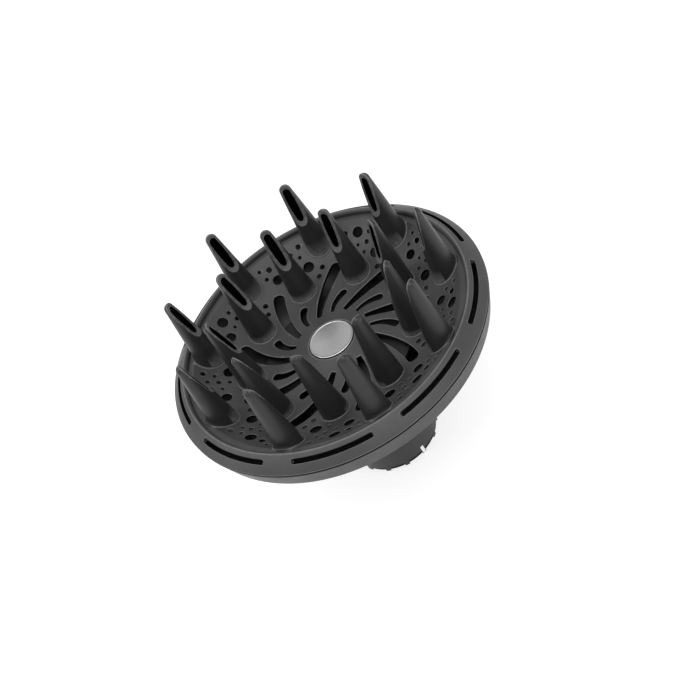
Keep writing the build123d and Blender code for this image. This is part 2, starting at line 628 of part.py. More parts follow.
with BuildPart() as lock_collar:
    with BuildSketch(Plane.XY):
        Circle(COLLAR_RADIUS)
        Circle(COLLAR_BORE_RADIUS, mode=Mode.SUBTRACT)
    extrude(amount=COLLAR_TOP_Z)
    with BuildSketch(Plane.XY.offset(COLLAR_BORE_LENGTH)):
        Circle(COLLAR_RUN_RADIUS)
    extrude(amount=COLLAR_TOP_Z - COLLAR_BORE_LENGTH, mode=Mode.SUBTRACT)
    with BuildSketch(Plane.XY):
        for k in range(WINDOW_COUNT):
            start = MARK_ANGLE + WINDOW_RIB_ANGLE / 2 + window_pitch * k
            add(ring_sector(window_inner_radius, COLLAR_RADIUS + OVERCUT, start, window_angle))
    extrude(amount=WINDOW_HEIGHT, mode=Mode.SUBTRACT)
    with BuildSketch(Plane.XY):
        Circle(window_inner_radius)
        Circle(BAND_INNER_RADIUS, mode=Mode.SUBTRACT)
    extrude(amount=WINDOW_HEIGHT + BAND_LIFT, mode=Mode.SUBTRACT)
    with BuildSketch(Plane.XY):
        for angle in bayonet_angles:
            add(ring_sector(COLLAR_BORE_RADIUS - OVERCUT, bayonet_radius, angle, BAYONET_WIDTH_ANGLE))
    extrude(amount=BAYONET_Z, mode=Mode.SUBTRACT)
    with BuildSketch(Plane.XY.offset(BAYONET_Z)):
        for angle in bayonet_angles:
            add(ring_sector(COLLAR_BORE_RADIUS - OVERCUT, bayonet_radius, angle, bayonet_slot_angle))
    extrude(amount=BAYONET_HEIGHT, mode=Mode.SUBTRACT)
    with BuildSketch(Plane.XY.offset(SNAP_RING_Z)):
        Circle(SNAP_RING_OUTER_RADIUS)
    extrude(amount=SNAP_RING_THICKNESS, mode=Mode.SUBTRACT)
    with BuildSketch(Plane.XY.offset(COLLAR_TOP_Z)):
        add(ring_sector(COLLAR_BORE_RADIUS - OVERCUT, COLLAR_RADIUS + OVERCUT, notch_start, notch_angle))
    extrude(amount=-STOP_HEIGHT, mode=Mode.SUBTRACT)
    add(mark_block.part, mode=Mode.SUBTRACT)
save(lock_collar, "lock_collar")

with BuildPart() as index_mark:
    add(mark_block.part)
save(index_mark, "index_mark")

with BuildPart() as grip_band:
    with BuildSketch(Plane.XY.offset(BAND_LIFT)):
        Circle(window_inner_radius)
        Circle(BAND_INNER_RADIUS, mode=Mode.SUBTRACT)
    extrude(amount=WINDOW_HEIGHT)
save(grip_band, "grip_band")

with BuildPart() as collar_snap_ring:
    with BuildSketch(Plane.XY.offset(SNAP_RING_Z)):
        gap_end = SNAP_RING_OPENING / 2
        add(ring_sector(SNAP_RING_INNER_RADIUS, SNAP_RING_OUTER_RADIUS, gap_end, 360 - SNAP_RING_OPENING))
    extrude(amount=SNAP_RING_THICKNESS)
save(collar_snap_ring, "collar_snap_ring")
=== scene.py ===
"""Looks of a hair dryer's bowl diffuser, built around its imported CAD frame.

Mesh code works in millimetres, in the frame's own axes: +Z is the axis of the dish and Z = 0 the
collar's mouth. Angles are in degrees about +Z from +X. Pieces are scaled to metres when they are made.
"""

import math

import bmesh
import bpy
import numpy as np
from mathutils import Matrix, Vector
from mathutils.geometry import delaunay_2d_cdt
from mathutils.kdtree import KDTree


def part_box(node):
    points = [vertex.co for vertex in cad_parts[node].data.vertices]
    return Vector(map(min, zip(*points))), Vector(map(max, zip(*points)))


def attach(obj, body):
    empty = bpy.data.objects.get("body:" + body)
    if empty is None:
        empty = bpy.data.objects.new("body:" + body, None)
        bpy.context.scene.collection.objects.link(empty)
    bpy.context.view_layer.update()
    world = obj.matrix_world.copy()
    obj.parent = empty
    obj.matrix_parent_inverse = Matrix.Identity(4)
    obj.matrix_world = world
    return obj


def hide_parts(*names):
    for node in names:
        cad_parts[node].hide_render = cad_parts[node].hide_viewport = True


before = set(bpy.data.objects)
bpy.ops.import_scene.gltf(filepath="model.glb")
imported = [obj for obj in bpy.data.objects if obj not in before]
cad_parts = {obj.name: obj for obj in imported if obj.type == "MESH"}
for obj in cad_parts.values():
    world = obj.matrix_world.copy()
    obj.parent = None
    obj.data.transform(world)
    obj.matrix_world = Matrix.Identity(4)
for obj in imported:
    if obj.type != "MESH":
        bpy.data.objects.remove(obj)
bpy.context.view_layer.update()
scene = bpy.context.scene

MM = 0.001

# --- driving dimensions, in millimetres ---
FINGER_COUNT = 9
PITCH = 360 / FINGER_COUNT
FIRST_OUTER_ANGLE = -90.0
INNER_ANGLE_OFFSET = 18.0
OUTER_ANGLES = [FIRST_OUTER_ANGLE + PITCH * k for k in range(FINGER_COUNT)]
INNER_ANGLES = [angle + INNER_ANGLE_OFFSET for angle in OUTER_ANGLES]

RIM_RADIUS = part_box("bezel_ring")[1].x / MM
RIM_Z = 84.5
HOOK_DEPTH = RIM_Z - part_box("bezel_ring")[0].z / MM
BEZEL_TOP_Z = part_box("bezel_ring")[1].z / MM
BEZEL_INNER_RADIUS = 70.9
BEZEL_CROWN = 0.5
HOOK_OUTER_RADIUS = 78.4
HOOK_INNER_RADIUS = 77.0
LIP_ROUNDING = 1.5
BEZEL_SLOT_RADIUS = 75.5
BEZEL_SLOT_WIDTH = 2.0
BEZEL_SLOT_ARC = 28.0

TROUGH_RADIUS = 33.0
TROUGH_Z = 75.6
INSIDE_CURVE = 0.0052
OUTSIDE_CURVE = 0.0100
HUB_RADIUS = 12.0
PLATE_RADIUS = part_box("face_plate")[1].x / MM
PLATE_FLAT_RADIUS = 68.1
PLATE_THICKNESS = 1.8
PAD_HEIGHT = 0.5
PAD_RADIUS = 7.4
SOCKET_RADIUS = 5.0
HUB_BOSS_RADIUS = 14.5
BOSS_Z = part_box("face_plate")[0].z / MM

OUTER_RING_RADIUS = 62.3
INNER_RING_RADIUS = 42.4
INNER_LEAN = 1.9
FINGER_LENGTH = 45.0
OUTER_FINGER_BASE_Z = 79.5
INNER_FINGER_BASE_Z = 74.3
FINGER_BASE_RADIUS = 7.0
FINGER_TIP_RADIUS = 3.0
FINGER_WALL = 1.1
TIP_WALL = 2.4
OUTER_FOOT_HEIGHT = 10.5
INNER_FOOT_HEIGHT = 5.0
SCOOP_LENGTH = 23.5
SCOOP_TIP_OFFSET = 0.3
SCOOP_BEND_LENGTH = 19.0
SCOOP_BEND_X = -3.0
SCOOP_CONTROL_LENGTH = 21.3
SCOOP_CONTROL_X = -3.4
SPIGOT_RADIUS = 4.95
SPIGOT_BORE_RADIUS = 4.1
SPIGOT_LENGTH = 2.0

BADGE_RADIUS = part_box("badge")[1].x / MM
BADGE_TOP_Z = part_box("badge")[1].z / MM
BADGE_THICKNESS = 1.6
BADGE_GAP = 0.4
BADGE_ROUNDING = 0.45
BADGE_SINK = 0.12                # how deep the badge's face lies inside its rim
BADGE_DOME = 0.1

# Round holes of one sector: ring radius, degrees clockwise from the outer finger, hole radius.
PLATE_HOLES = [
    (64.4, 9.5, 0.95), (59.6, 9.8, 1.05), (62.4, 13.6, 1.5), (56.0, 13.8, 2.6), (62.4, 19.9, 2.8),
    (56.6, 20.2, 0.9), (62.4, 25.6, 1.1), (57.8, 25.0, 1.25), (53.0, 24.2, 1.0), (59.4, 29.0, 1.0),
    (64.2, 30.4, 1.4), (53.1, 31.2, 2.9), (50.2, 38.6, 1.4), (46.0, 35.2, 1.4),
]
# Swirl slots and the spreader's vanes: ring radius, degrees clockwise, half width.
LONG_SLOT = [(19.4, 22.5, 1.3), (27.0, 29.8, 2.0), (35.0, 36.5, 2.6), (47.2, 46.4, 2.95)]
SHORT_SLOT = [(19.2, 3.8, 0.9), (26.0, 7.0, 1.5), (31.4, 13.6, 1.95)]
VANE = [(15.5, 12.0, 0.7), (26.0, 21.0, 0.7), (36.0, 31.0, 0.7)]


# --- mesh helpers ---
EDGE_ROUND_WIDTH = 0.45              # widest strip of faces that counts as the round of an edge
EDGE_ROUND_BEND = 0.3                # least bend, in radians, between two such strips
CUT_HIGHLIGHT = 0.6                   # painted highlight: how light a finger's cut face is painted, beside its edges
WALL_FROM = 3                    # the loop of wall_loops where its upper edge's round ends
TOP_SPACING = 1.2                # between a sheet's own points where they are seen, and below
UNDER_SPACING = 2.2
TOP_MARGIN = 0.45                # and from them to the sheet's borders
UNDER_MARGIN = 0.7


def polar(radius, angle):
    """The point at this radius and angle in the XY plane."""
    return np.array([radius * math.cos(math.radians(angle)), radius * math.sin(math.radians(angle))])


def circle_points(radius, turns):
    """Points of the plane at one radius, or one each, and at these angles in radians."""
    return np.stack([radius * np.cos(turns), radius * np.sin(turns)], axis=1)


def ring(radius, count, centre=(0.0, 0.0)):
    """Points evenly round a circle."""
    return circle_points(radius, np.arange(count) * 2 * math.pi / count) + centre


def radii_of(flat):
    """Each point's distance from the axis."""
    return np.hypot(flat[:, 0], flat[:, 1])


def raised(flat, heights):
    """Points of the plane at these heights."""
    return np.column_stack([flat, np.broadcast_to(heights, len(flat))])


def mark_worn_lit_edges(work):
    """Sets the points' wear value to 1 on the narrow rounds along convex edges, which the material
    paints lighter: edge wear and a painted highlight.
    """
    wear_and_highlight = work.verts.layers.float["wear_and_highlight"]
    width = {
        face: face.calc_area() / max(edge.calc_length() for edge in face.edges) for face in work.faces
    }
    for vertex in work.verts:
        bend = max(edge.calc_face_angle_signed(0) for edge in vertex.link_edges)
        narrow = max(width[face] for face in vertex.link_faces) < EDGE_ROUND_WIDTH * MM
        if narrow and bend > EDGE_ROUND_BEND:
            vertex[wear_and_highlight] = 1.0


class Shell:
    """A closed mesh that is being built up, in millimetres."""

    def __init__(self):
        self.points = []
        self.faces = []
        # Points inside openings, painted dark: painted shade.
        self.inside = set()
        # Points of a finger's cut face, painted lighter: a painted highlight.
        self.lit_cut_points = set()

    def add_loop(self, points):
        """Adds points and returns their numbers."""
        first = len(self.points)
        self.points.extend(tuple(float(value) for value in point) for point in points)
        return list(range(first, len(self.points)))

    def add_strips(self, loops):
        """Joins each closed loop of numbers to the next one with four-sided faces."""
        for near, far in zip(loops, loops[1:]):
            for k in range(len(near)):
                after = (k + 1) % len(near)
                self.faces.append((near[k], near[after], far[after], far[k]))

    def add_cap(self, loop, centre):
        """Closes a loop with a fan round a centre point."""
        middle = self.add_loop([centre])[0]
        for k in range(len(loop)):
            self.faces.append((loop[k], loop[(k + 1) % len(loop)], middle))

    def add_chain(self, loops, painted_shade_from=None):
        """Adds loops of points, joins them in order and returns the first and last loops' numbers.

        From the loop counted by the last argument on, the points lie inside an opening, where the
        material paints shade.
        """
        numbers = [self.add_loop(points) for points in loops]
        self.add_strips(numbers)
        if painted_shade_from is not None:
            self.inside.update(number for loop in numbers[painted_shade_from:] for number in loop)
        return numbers[0], numbers[-1]

    def add_edges(self, chains, walls):
        """Adds edges and opening walls; returns the borders of the sheets above and below them."""
        ends = [self.add_chain(loops) for loops in chains]
        ends += [self.add_chain(loops, WALL_FROM) for loops in walls]
        rims = list(zip(ends, chains + walls))
        tops = [(first, loops[0][:, :2]) for (first, _), loops in rims]
        bottoms = [(last, loops[-1][:, :2]) for (_, last), loops in rims]
        return tops, bottoms

    def add_sheet(self, borders, grid=(), lift=None, margin=0.0, marked=None):
        """Fills a sheet with triangles.

        borders are pairs of point numbers and their places on a flat map. The first goes round the
        sheet, and the others round its openings. grid are more places on the map, kept a margin
        away from the borders, and lift gives the points in space for them. marked is a set that
        takes the numbers of all the sheet's points.
        """
        edge_tree = KDTree(sum(len(numbers) for numbers, _ in borders))
        places, numbers_of, rounds = [], [], []
        for numbers, flat in borders:
            order = list(range(len(numbers)))
            after = np.roll(flat, -1, axis=0)
            twice_area = np.sum(flat[:, 0] * after[:, 1] - after[:, 0] * flat[:, 1])
            if twice_area < 0:
                order.reverse()
            first = len(places)
            for k in order:
                edge_tree.insert((flat[k][0], flat[k][1], 0), len(places))
                places.append(Vector(flat[k]))
                numbers_of.append(numbers[k])
            rounds.append(list(range(first, len(places))))
        edge_tree.balance()
        kept = [place for place in grid if edge_tree.find((place[0], place[1], 0))[2] > margin]
        places.extend(Vector(place) for place in kept)
        if kept:
            numbers_of.extend(self.add_loop(lift(np.array(kept).reshape(-1, 2))))
        if marked is not None:
            marked.update(numbers_of)
        made = delaunay_2d_cdt(places, [], rounds, 1, 1e-7, True)
        new_places, triangles, sources, owners = made[0], made[2], made[3], made[5]
        if any(not source for source in sources):
            raise ValueError(f"borders cross: {len(new_places) - len(places)} extra points")
        for triangle, owner in zip(triangles, owners):
            if owner == [0]:
                self.faces.append(tuple(numbers_of[sources[k][0]] for k in triangle))

    def mesh(self, name):
        """The finished mesh in metres, with its faces turned outwards."""
        mesh = bpy.data.meshes.new(name)
        mesh.from_pydata([Vector(point) * MM for point in self.points], [], self.faces)
        work = bmesh.new()
        work.from_mesh(mesh)
        work.verts.ensure_lookup_table()
        # Layers: painted shade inside openings, and a painted highlight on the fingers' cut faces; the
        # edge marks below add wear with a painted highlight.
        for label, numbers, value in [("inside", self.inside, 1.0), ("wear_and_highlight", self.lit_cut_points, CUT_HIGHLIGHT)]:
            layer = work.verts.layers.float.new(label)
            for number in numbers:
                work.verts[number][layer] = value
        loose = [vertex for vertex in work.verts if not vertex.link_faces]
        bmesh.ops.delete(work, geom=loose, context="VERTS")
        bmesh.ops.recalc_face_normals(work, faces=work.faces)
        mark_worn_lit_edges(work)
        work.to_mesh(mesh)
        work.free()
        mesh.shade_smooth()
        return mesh


def corner_curve(start, corner, end, steps):
    """Points of the curve that rounds a corner, its two ends among them."""
    return [
        (1 - share) ** 2 * start + 2 * share * (1 - share) * corner + share**2 * end
        for share in np.linspace(0, 1, steps + 1)
    ]


def rounded(corners, steps=3):
    """A closed profile with its corners rounded. A corner is (radius, z, length cut for the round)."""
    points = []
    for k, (radius, z, cut) in enumerate(corners):
        corner = np.array([radius, z])
        if cut == 0:
            points.append(corner)
            continue
        before = np.array(corners[k - 1][:2]) - corner
        after = np.array(corners[(k + 1) % len(corners)][:2]) - corner
        start = corner + before / np.linalg.norm(before) * cut
        end = corner + after / np.linalg.norm(after) * cut
        points.extend(corner_curve(start, corner, end, steps))
    return points


def bezier(controls, count):
    """Points along a Bezier curve, without its two ends."""
    controls = np.array(controls, float)
    degree = len(controls) - 1
    points = []
    for share in np.linspace(0, 1, count + 2)[1:-1]:
        weights = [
            math.comb(degree, k) * share**k * (1 - share) ** (degree - k) for k in range(degree + 1)
        ]
        points.append(np.array(weights) @ controls)
    return points


def turned(profile, angles):
    """Loops round the axis, one for each (radius, z) of a profile."""
    turns = np.radians(angles)
    return [raised(circle_points(radius, turns), z) for radius, z in profile]


def even_angles(count):
    """Angles evenly round a circle, from zero."""
    return np.arange(count) * 360 / count


def closed_section(name, loops):
    """The mesh of a ring whose section is closed."""
    shell = Shell()
    numbers = [shell.add_loop(loop) for loop in loops]
    shell.add_strips([*numbers, numbers[0]])
    return shell.mesh(name)


def place_piece(name, mesh, material, body, node_name, matrix=None, smooth_angle=50):
    """Makes an object that stands for a CAD node and rides on a body."""
    if not mesh.materials:
        mesh.set_sharp_from_angle(angle=math.radians(smooth_angle))
        mesh.materials.append(material)
    piece = bpy.data.objects.new(name, mesh)
    scene.collection.objects.link(piece)
    if matrix is not None:
        piece.matrix_world = matrix
    shading = piece.modifiers.new("even_shading", "WEIGHTED_NORMAL")
    shading.keep_sharp = True
    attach(piece, body)
    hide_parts(node_name)


# --- the dish's surface ---
def dish_z(radius):
    """Height of the dish's upper face: two parabolas and a flat hub."""
    curve = np.where(radius < TROUGH_RADIUS, INSIDE_CURVE, OUTSIDE_CURVE)
    return TROUGH_Z + curve * (np.maximum(radius, HUB_RADIUS) - TROUGH_RADIUS) ** 2


SEAT_Z = float(dish_z(PLATE_FLAT_RADIUS))


def plate_z(flat):
    """Height of the plate's upper face, whose edge is flat under the bezel's lip."""
    return np.minimum(dish_z(radii_of(flat)), SEAT_Z)


def pad_z(flat):
    """Height of the finger pads' tops."""
    return dish_z(radii_of(flat)) + PAD_HEIGHT


# --- outlines on the plate ---
def swirl_outline(stations, turn, count=16, corner=0.45):
    """Outline of a swirl slot or vane: round at its outer end, nearly square at its inner one."""
    middles = np.array([polar(radius, turn - offset) for radius, offset, _ in stations])
    widths = np.array([width for _, _, width in stations])
    steps = np.concatenate([[0], np.cumsum(np.linalg.norm(np.diff(middles, axis=0), axis=1))])
    degree = len(stations) - 1
    fits = [np.polyfit(steps, column, degree) for column in (middles[:, 0], middles[:, 1], widths)]
    along = np.linspace(corner, steps[-1], count)
    centre = np.stack([np.polyval(fit, along) for fit in fits[:2]], axis=1)
    tangent = np.stack([np.polyval(np.polyder(fit), along) for fit in fits[:2]], axis=1)
    tangent /= np.linalg.norm(tangent, axis=1, keepdims=True)
    normal = np.stack([-tangent[:, 1], tangent[:, 0]], axis=1)
    width = np.polyval(fits[2], along)[:, None]
    left = centre + normal * width
    right = centre - normal * width
    turns = np.radians(np.linspace(90, -90, 13)[1:-1])
    end = [
        centre[-1] + width[-1] * (normal[-1] * math.sin(bend) + tangent[-1] * math.cos(bend))
        for bend in turns
    ]
    start = []
    for side, share in [(-1, 0), (-1, 1), (-1, 2), (1, 2), (1, 1), (1, 0)]:
        bend = math.radians(30 * share + 15)
        inset = corner * (1 - math.cos(bend))
        back = corner * math.sin(bend)
        start.append(centre[0] + side * normal[0] * (width[0] - inset) - tangent[0] * back)
    return np.array([*left, *end, *right[::-1], *start])


def hole_outline(radius, turn, hole_radius):
    """Outline of a round hole, square to the dish, seen from above."""
    tilt = math.atan(2 * OUTSIDE_CURVE * (radius - TROUGH_RADIUS))
    count = 20 if hole_radius < 2 else 36
    flat = ring(hole_radius, count) * [math.cos(tilt), 1]
    angle = math.radians(turn)
    spin = np.array([[math.cos(angle), math.sin(angle)], [-math.sin(angle), math.cos(angle)]])
    return (flat + [radius, 0]) @ spin, math.tan(tilt) * polar(1, turn)


def outward(outline):
    """Unit vectors away from an outline's inside, one for each of its points."""
    along = np.roll(outline, -1, axis=0) - np.roll(outline, 1, axis=0)
    normal = np.stack([along[:, 1], -along[:, 0]], axis=1)
    normal /= np.linalg.norm(normal, axis=1, keepdims=True)
    away = np.sum(normal * (outline - outline.mean(axis=0))) > 0
    return normal if away else -normal


def wall_loops(outline, top, bottom, drift, edge, under_edge=0.2):
    """Loops of an opening's wall from the upper face to the lower one, both edges rounded.

    top and bottom give the faces' heights, and drift is how far the wall moves outwards for each
    millimetre of depth.
    """
    normals = outward(outline)
    depth = float(np.mean(top(outline) - bottom(outline))) / (1 + drift @ drift)
    loops = []
    for share in np.linspace(0, 90, 4):
        bend = math.radians(share)
        flat = outline + normals * edge * (1 - math.sin(bend))
        fall = edge * (1 - math.cos(bend))
        loops.append(raised(flat + drift * fall, top(flat) - fall))
    for share in (0, 45):
        bend = math.radians(share)
        flat = outline + normals * under_edge * (1 - math.cos(bend))
        fall = depth - under_edge * (1 - math.sin(bend))
        loops.append(raised(flat + drift * fall, top(outline) - fall))
    flat = outline + normals * under_edge + drift * depth
    loops.append(raised(flat, bottom(flat)))
    return loops


def polar_grid(inner, outer, spacing):
    """Points in rings, every other ring turned by half a step."""
    points = []
    radii = np.linspace(inner, outer, max(2, round((outer - inner) / spacing)))
    for k, radius in enumerate(radii):
        count = max(6, round(2 * math.pi * radius / spacing))
        turns = (np.arange(count) + 0.5 * (k % 2)) * 2 * math.pi / count
        points.extend(circle_points(radius, turns))
    return points


# --- face plate ---
SLOT_EDGE = 0.4
HOLE_EDGE = 0.18
PAD_FILLET = 0.3
INNER_PAD_SHIFT = 0.07           # how far out a leaning finger meets its pad
STUD_HOLE_RADIUS = 1.55
# The pad's steps from the plate up and over to its socket: radius, share of the pad's height.
PAD_STEPS = [
    (PAD_RADIUS + PAD_FILLET, 0.0), (PAD_RADIUS + 0.1, 0.08), (PAD_RADIUS, 0.3),
    (PAD_RADIUS - 0.06, 0.62), (PAD_RADIUS - 0.2, 0.88), (PAD_RADIUS - 0.42, 1.0),
    (SOCKET_RADIUS + 0.2, 1.0),
]


def under_z(flat):
    """Height of the plate's lower face."""
    return plate_z(flat) - PLATE_THICKNESS


def pad_loops(radius, turn):
    """Loops of one finger pad, from the plate's upper face over the pad and down its socket."""
    centre = polar(radius, turn)
    loops = []
    for step_radius, share in PAD_STEPS:
        flat = ring(step_radius, 48, centre)
        loops.append(raised(flat, plate_z(flat) + share * (pad_z(flat) - plate_z(flat))))
    socket = ring(SOCKET_RADIUS, 48, centre)
    loops.append(raised(socket, pad_z(socket) - 0.2))
    loops.append(raised(socket, under_z(socket) + 0.15))
    mouth = ring(SOCKET_RADIUS + 0.15, 48, centre)
    loops.append(raised(mouth, under_z(mouth)))
    return loops


def hub_loops():
    """The badge's recess, its stud's hole and the boss behind it, from the upper to the lower face."""
    recess_radius = BADGE_RADIUS + BADGE_GAP
    hub_z = float(dish_z(HUB_RADIUS))
    floor_z = BADGE_TOP_Z - BADGE_THICKNESS
    profile = [
        (recess_radius + 0.25, hub_z), (recess_radius + 0.08, hub_z - 0.07),
        (recess_radius, hub_z - 0.25), (recess_radius, floor_z + 0.1),
        (recess_radius - 0.1, floor_z), (STUD_HOLE_RADIUS + 0.1, floor_z),
        (STUD_HOLE_RADIUS, floor_z - 0.1), (STUD_HOLE_RADIUS, BOSS_Z + 0.1),
        (STUD_HOLE_RADIUS + 0.1, BOSS_Z),
        (HUB_BOSS_RADIUS - 0.4, BOSS_Z), (HUB_BOSS_RADIUS - 0.1, BOSS_Z + 0.1),
        (HUB_BOSS_RADIUS, BOSS_Z + 0.4),
    ]
    loops = turned(profile, even_angles(96))
    foot = ring(HUB_BOSS_RADIUS, 96)
    loops.append(raised(foot, under_z(foot)))
    return loops


def rim_loops():
    """The plate's flat edge and the skirt under it, from the upper to the lower face."""
    skirt_z = RIM_Z - HOOK_DEPTH
    skirt_inner = PLATE_RADIUS - PLATE_THICKNESS
    profile = [
        (PLATE_RADIUS - 0.3, SEAT_Z), (PLATE_RADIUS - 0.09, SEAT_Z - 0.09),
        (PLATE_RADIUS, SEAT_Z - 0.3), (PLATE_RADIUS, skirt_z + 0.3),
        (PLATE_RADIUS - 0.3, skirt_z), (skirt_inner + 0.3, skirt_z),
        (skirt_inner, skirt_z + 0.3), (skirt_inner, SEAT_Z - PLATE_THICKNESS - 0.3),
        (skirt_inner - 0.3, SEAT_Z - PLATE_THICKNESS),
    ]
    return turned(profile, even_angles(240))


def face_plate_mesh():
    """The dish: 18 pads, 18 swirl slots, 126 round holes and the badge's recess in one sheet."""
    still = np.zeros(2)
    chains = [rim_loops(), hub_loops()]
    walls = []
    for turn in OUTER_ANGLES:
        walls.append(wall_loops(swirl_outline(LONG_SLOT, turn), plate_z, under_z, still, SLOT_EDGE))
        walls.append(wall_loops(swirl_outline(SHORT_SLOT, turn), plate_z, under_z, still, SLOT_EDGE))
        chains.append(pad_loops(OUTER_RING_RADIUS, turn))
        chains.append(pad_loops(INNER_RING_RADIUS + INNER_PAD_SHIFT, turn + INNER_ANGLE_OFFSET))
        for radius, offset, hole_radius in PLATE_HOLES:
            outline, drift = hole_outline(radius, turn - offset, hole_radius)
            walls.append(wall_loops(outline, plate_z, under_z, drift, HOLE_EDGE))
    shell = Shell()
    tops, bottoms = shell.add_edges(chains, walls)
    grid = polar_grid(12.5, 67.6, 1.3) + polar_grid(PLATE_FLAT_RADIUS, 72.0, TOP_SPACING)
    shell.add_sheet(tops, grid, lambda flat: raised(flat, plate_z(flat)), TOP_MARGIN)
    grid = polar_grid(15, 70.5, UNDER_SPACING)
    shell.add_sheet(bottoms, grid, lambda flat: raised(flat, under_z(flat)), UNDER_MARGIN)
    return shell.mesh("face_plate_shell")


# --- bezel ring ---
BEZEL_TOP_INNER = BEZEL_INNER_RADIUS + LIP_ROUNDING
BEZEL_TOP_OUTER = RIM_RADIUS - 0.2
BEZEL_LOW_Z = RIM_Z + 0.4


def bezel_z(flat):
    """Height of the bezel's convex conical band."""
    share = (radii_of(flat) - BEZEL_TOP_INNER) / (RIM_RADIUS - BEZEL_TOP_INNER)
    straight = BEZEL_TOP_Z + (BEZEL_LOW_Z - BEZEL_TOP_Z) * share
    return straight + BEZEL_CROWN * (1 - (2 * share - 1) ** 2)


def bezel_under_z(flat):
    """Height of the band's underside, a cone from the plate's edge to the hook."""
    share = (radii_of(flat) - PLATE_RADIUS) / (HOOK_INNER_RADIUS - PLATE_RADIUS)
    return SEAT_Z + (BEZEL_LOW_Z - SEAT_Z) * share


def arc_slot_outline(turn):
    """Outline of a slot that follows the ring, with round ends."""
    half = BEZEL_SLOT_WIDTH / 2
    reach = BEZEL_SLOT_ARC / 2
    outer = [polar(BEZEL_SLOT_RADIUS + half, turn + a) for a in np.linspace(-reach, reach, 36)]
    inner = [polar(BEZEL_SLOT_RADIUS - half, turn + a) for a in np.linspace(reach, -reach, 36)]
    ends = []
    for side in (1, -1):
        centre = polar(BEZEL_SLOT_RADIUS, turn + side * reach)
        bends = np.linspace(0, 180, 9)[1:-1]
        ends.append([centre + half * polar(1, turn + side * (reach + bend)) for bend in bends])
    return np.array([*outer, *ends[0], *inner, *ends[1][::-1]])


def bezel_mesh():
    """The band round the dish with its nine slots, its lip inside and its snap hook below."""
    angles = even_angles(300)
    lip = []
    for bend in np.radians(np.linspace(0, 90, 7)):
        fall = LIP_ROUNDING * (1 - math.cos(bend))
        lip.append((BEZEL_TOP_INNER - LIP_ROUNDING * math.sin(bend), BEZEL_TOP_Z - fall))
    lip += [(BEZEL_INNER_RADIUS, SEAT_Z + 0.15), (BEZEL_INNER_RADIUS + 0.1, SEAT_Z)]
    lip += [(PLATE_RADIUS, SEAT_Z)]
    hook_low = RIM_Z - HOOK_DEPTH
    hook = [
        (BEZEL_TOP_OUTER, BEZEL_LOW_Z + 0.15), (RIM_RADIUS - 0.02, BEZEL_LOW_Z - 0.02),
        (RIM_RADIUS - 0.05, RIM_Z + 0.15), (RIM_RADIUS - 0.3, RIM_Z),
        (HOOK_OUTER_RADIUS + 0.1, RIM_Z), (HOOK_OUTER_RADIUS, RIM_Z - 0.1),
        (HOOK_OUTER_RADIUS, hook_low + 0.2), (HOOK_OUTER_RADIUS - 0.2, hook_low),
        (HOOK_INNER_RADIUS + 0.2, hook_low), (HOOK_INNER_RADIUS, hook_low + 0.2),
        (HOOK_INNER_RADIUS, BEZEL_LOW_Z),
    ]
    chains = [turned(hook, angles), turned(lip, angles)]
    walls = [
        wall_loops(arc_slot_outline(turn + PITCH / 2), bezel_z, bezel_under_z, np.zeros(2), 0.25)
        for turn in OUTER_ANGLES
    ]
    shell = Shell()
    tops, bottoms = shell.add_edges(chains, walls)
    grid = polar_grid(BEZEL_TOP_INNER + 0.6, 79.2, TOP_SPACING)
    shell.add_sheet(tops, grid, lambda flat: raised(flat, bezel_z(flat)), TOP_MARGIN)
    shell.add_sheet(bottoms)
    return shell.mesh("bezel_shell")


# --- rear bowl ---
COLLAR_TOP_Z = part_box("lock_collar")[1].z / MM
COLLAR_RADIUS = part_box("lock_collar")[1].x / MM
SHOULDER_Z = COLLAR_TOP_Z + 0.3
SHOULDER_RADIUS = 23.3
NECK_RADIUS = 20.94
NECK_BORE_RADIUS = 18.4
NECK_END_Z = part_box("rear_bowl")[0].z / MM
SKIRT_Z = RIM_Z - 10.7
SKIRT_RADIUS = 77.4
SKIRT_INNER_RADIUS = HOOK_OUTER_RADIUS + 0.05
SKIRT_CHAMFER = 0.8
OUTER_FLOOR = (75.6, SKIRT_Z - 0.9)   # where the funnel's outer flank starts
INNER_FLOOR = (75.2, SKIRT_Z + 1.8)   # where its inner flank ends
FUNNEL_RADIUS = 52.0
FUNNEL_Z = RIM_Z - 25.0
FUNNEL_WALL = 1.5
FUNNEL_FOOT_Z = RIM_Z - 27.0
FUNNEL_FOOT = 3.0
THROAT_Z = SHOULDER_Z + 4.0
GROOVE = 1.0
SNAP_GROOVE_RADIUS = 20.14
SNAP_GROOVE_LOW_Z = 25.0
SNAP_GROOVE_TOP_Z = 26.6
STOP_ANGLE = 90.0
STOP_LUG_ANGLE = 12.0
STOP_CLEARANCE_ANGLE = 1.0
STOP_HEIGHT = 3.0


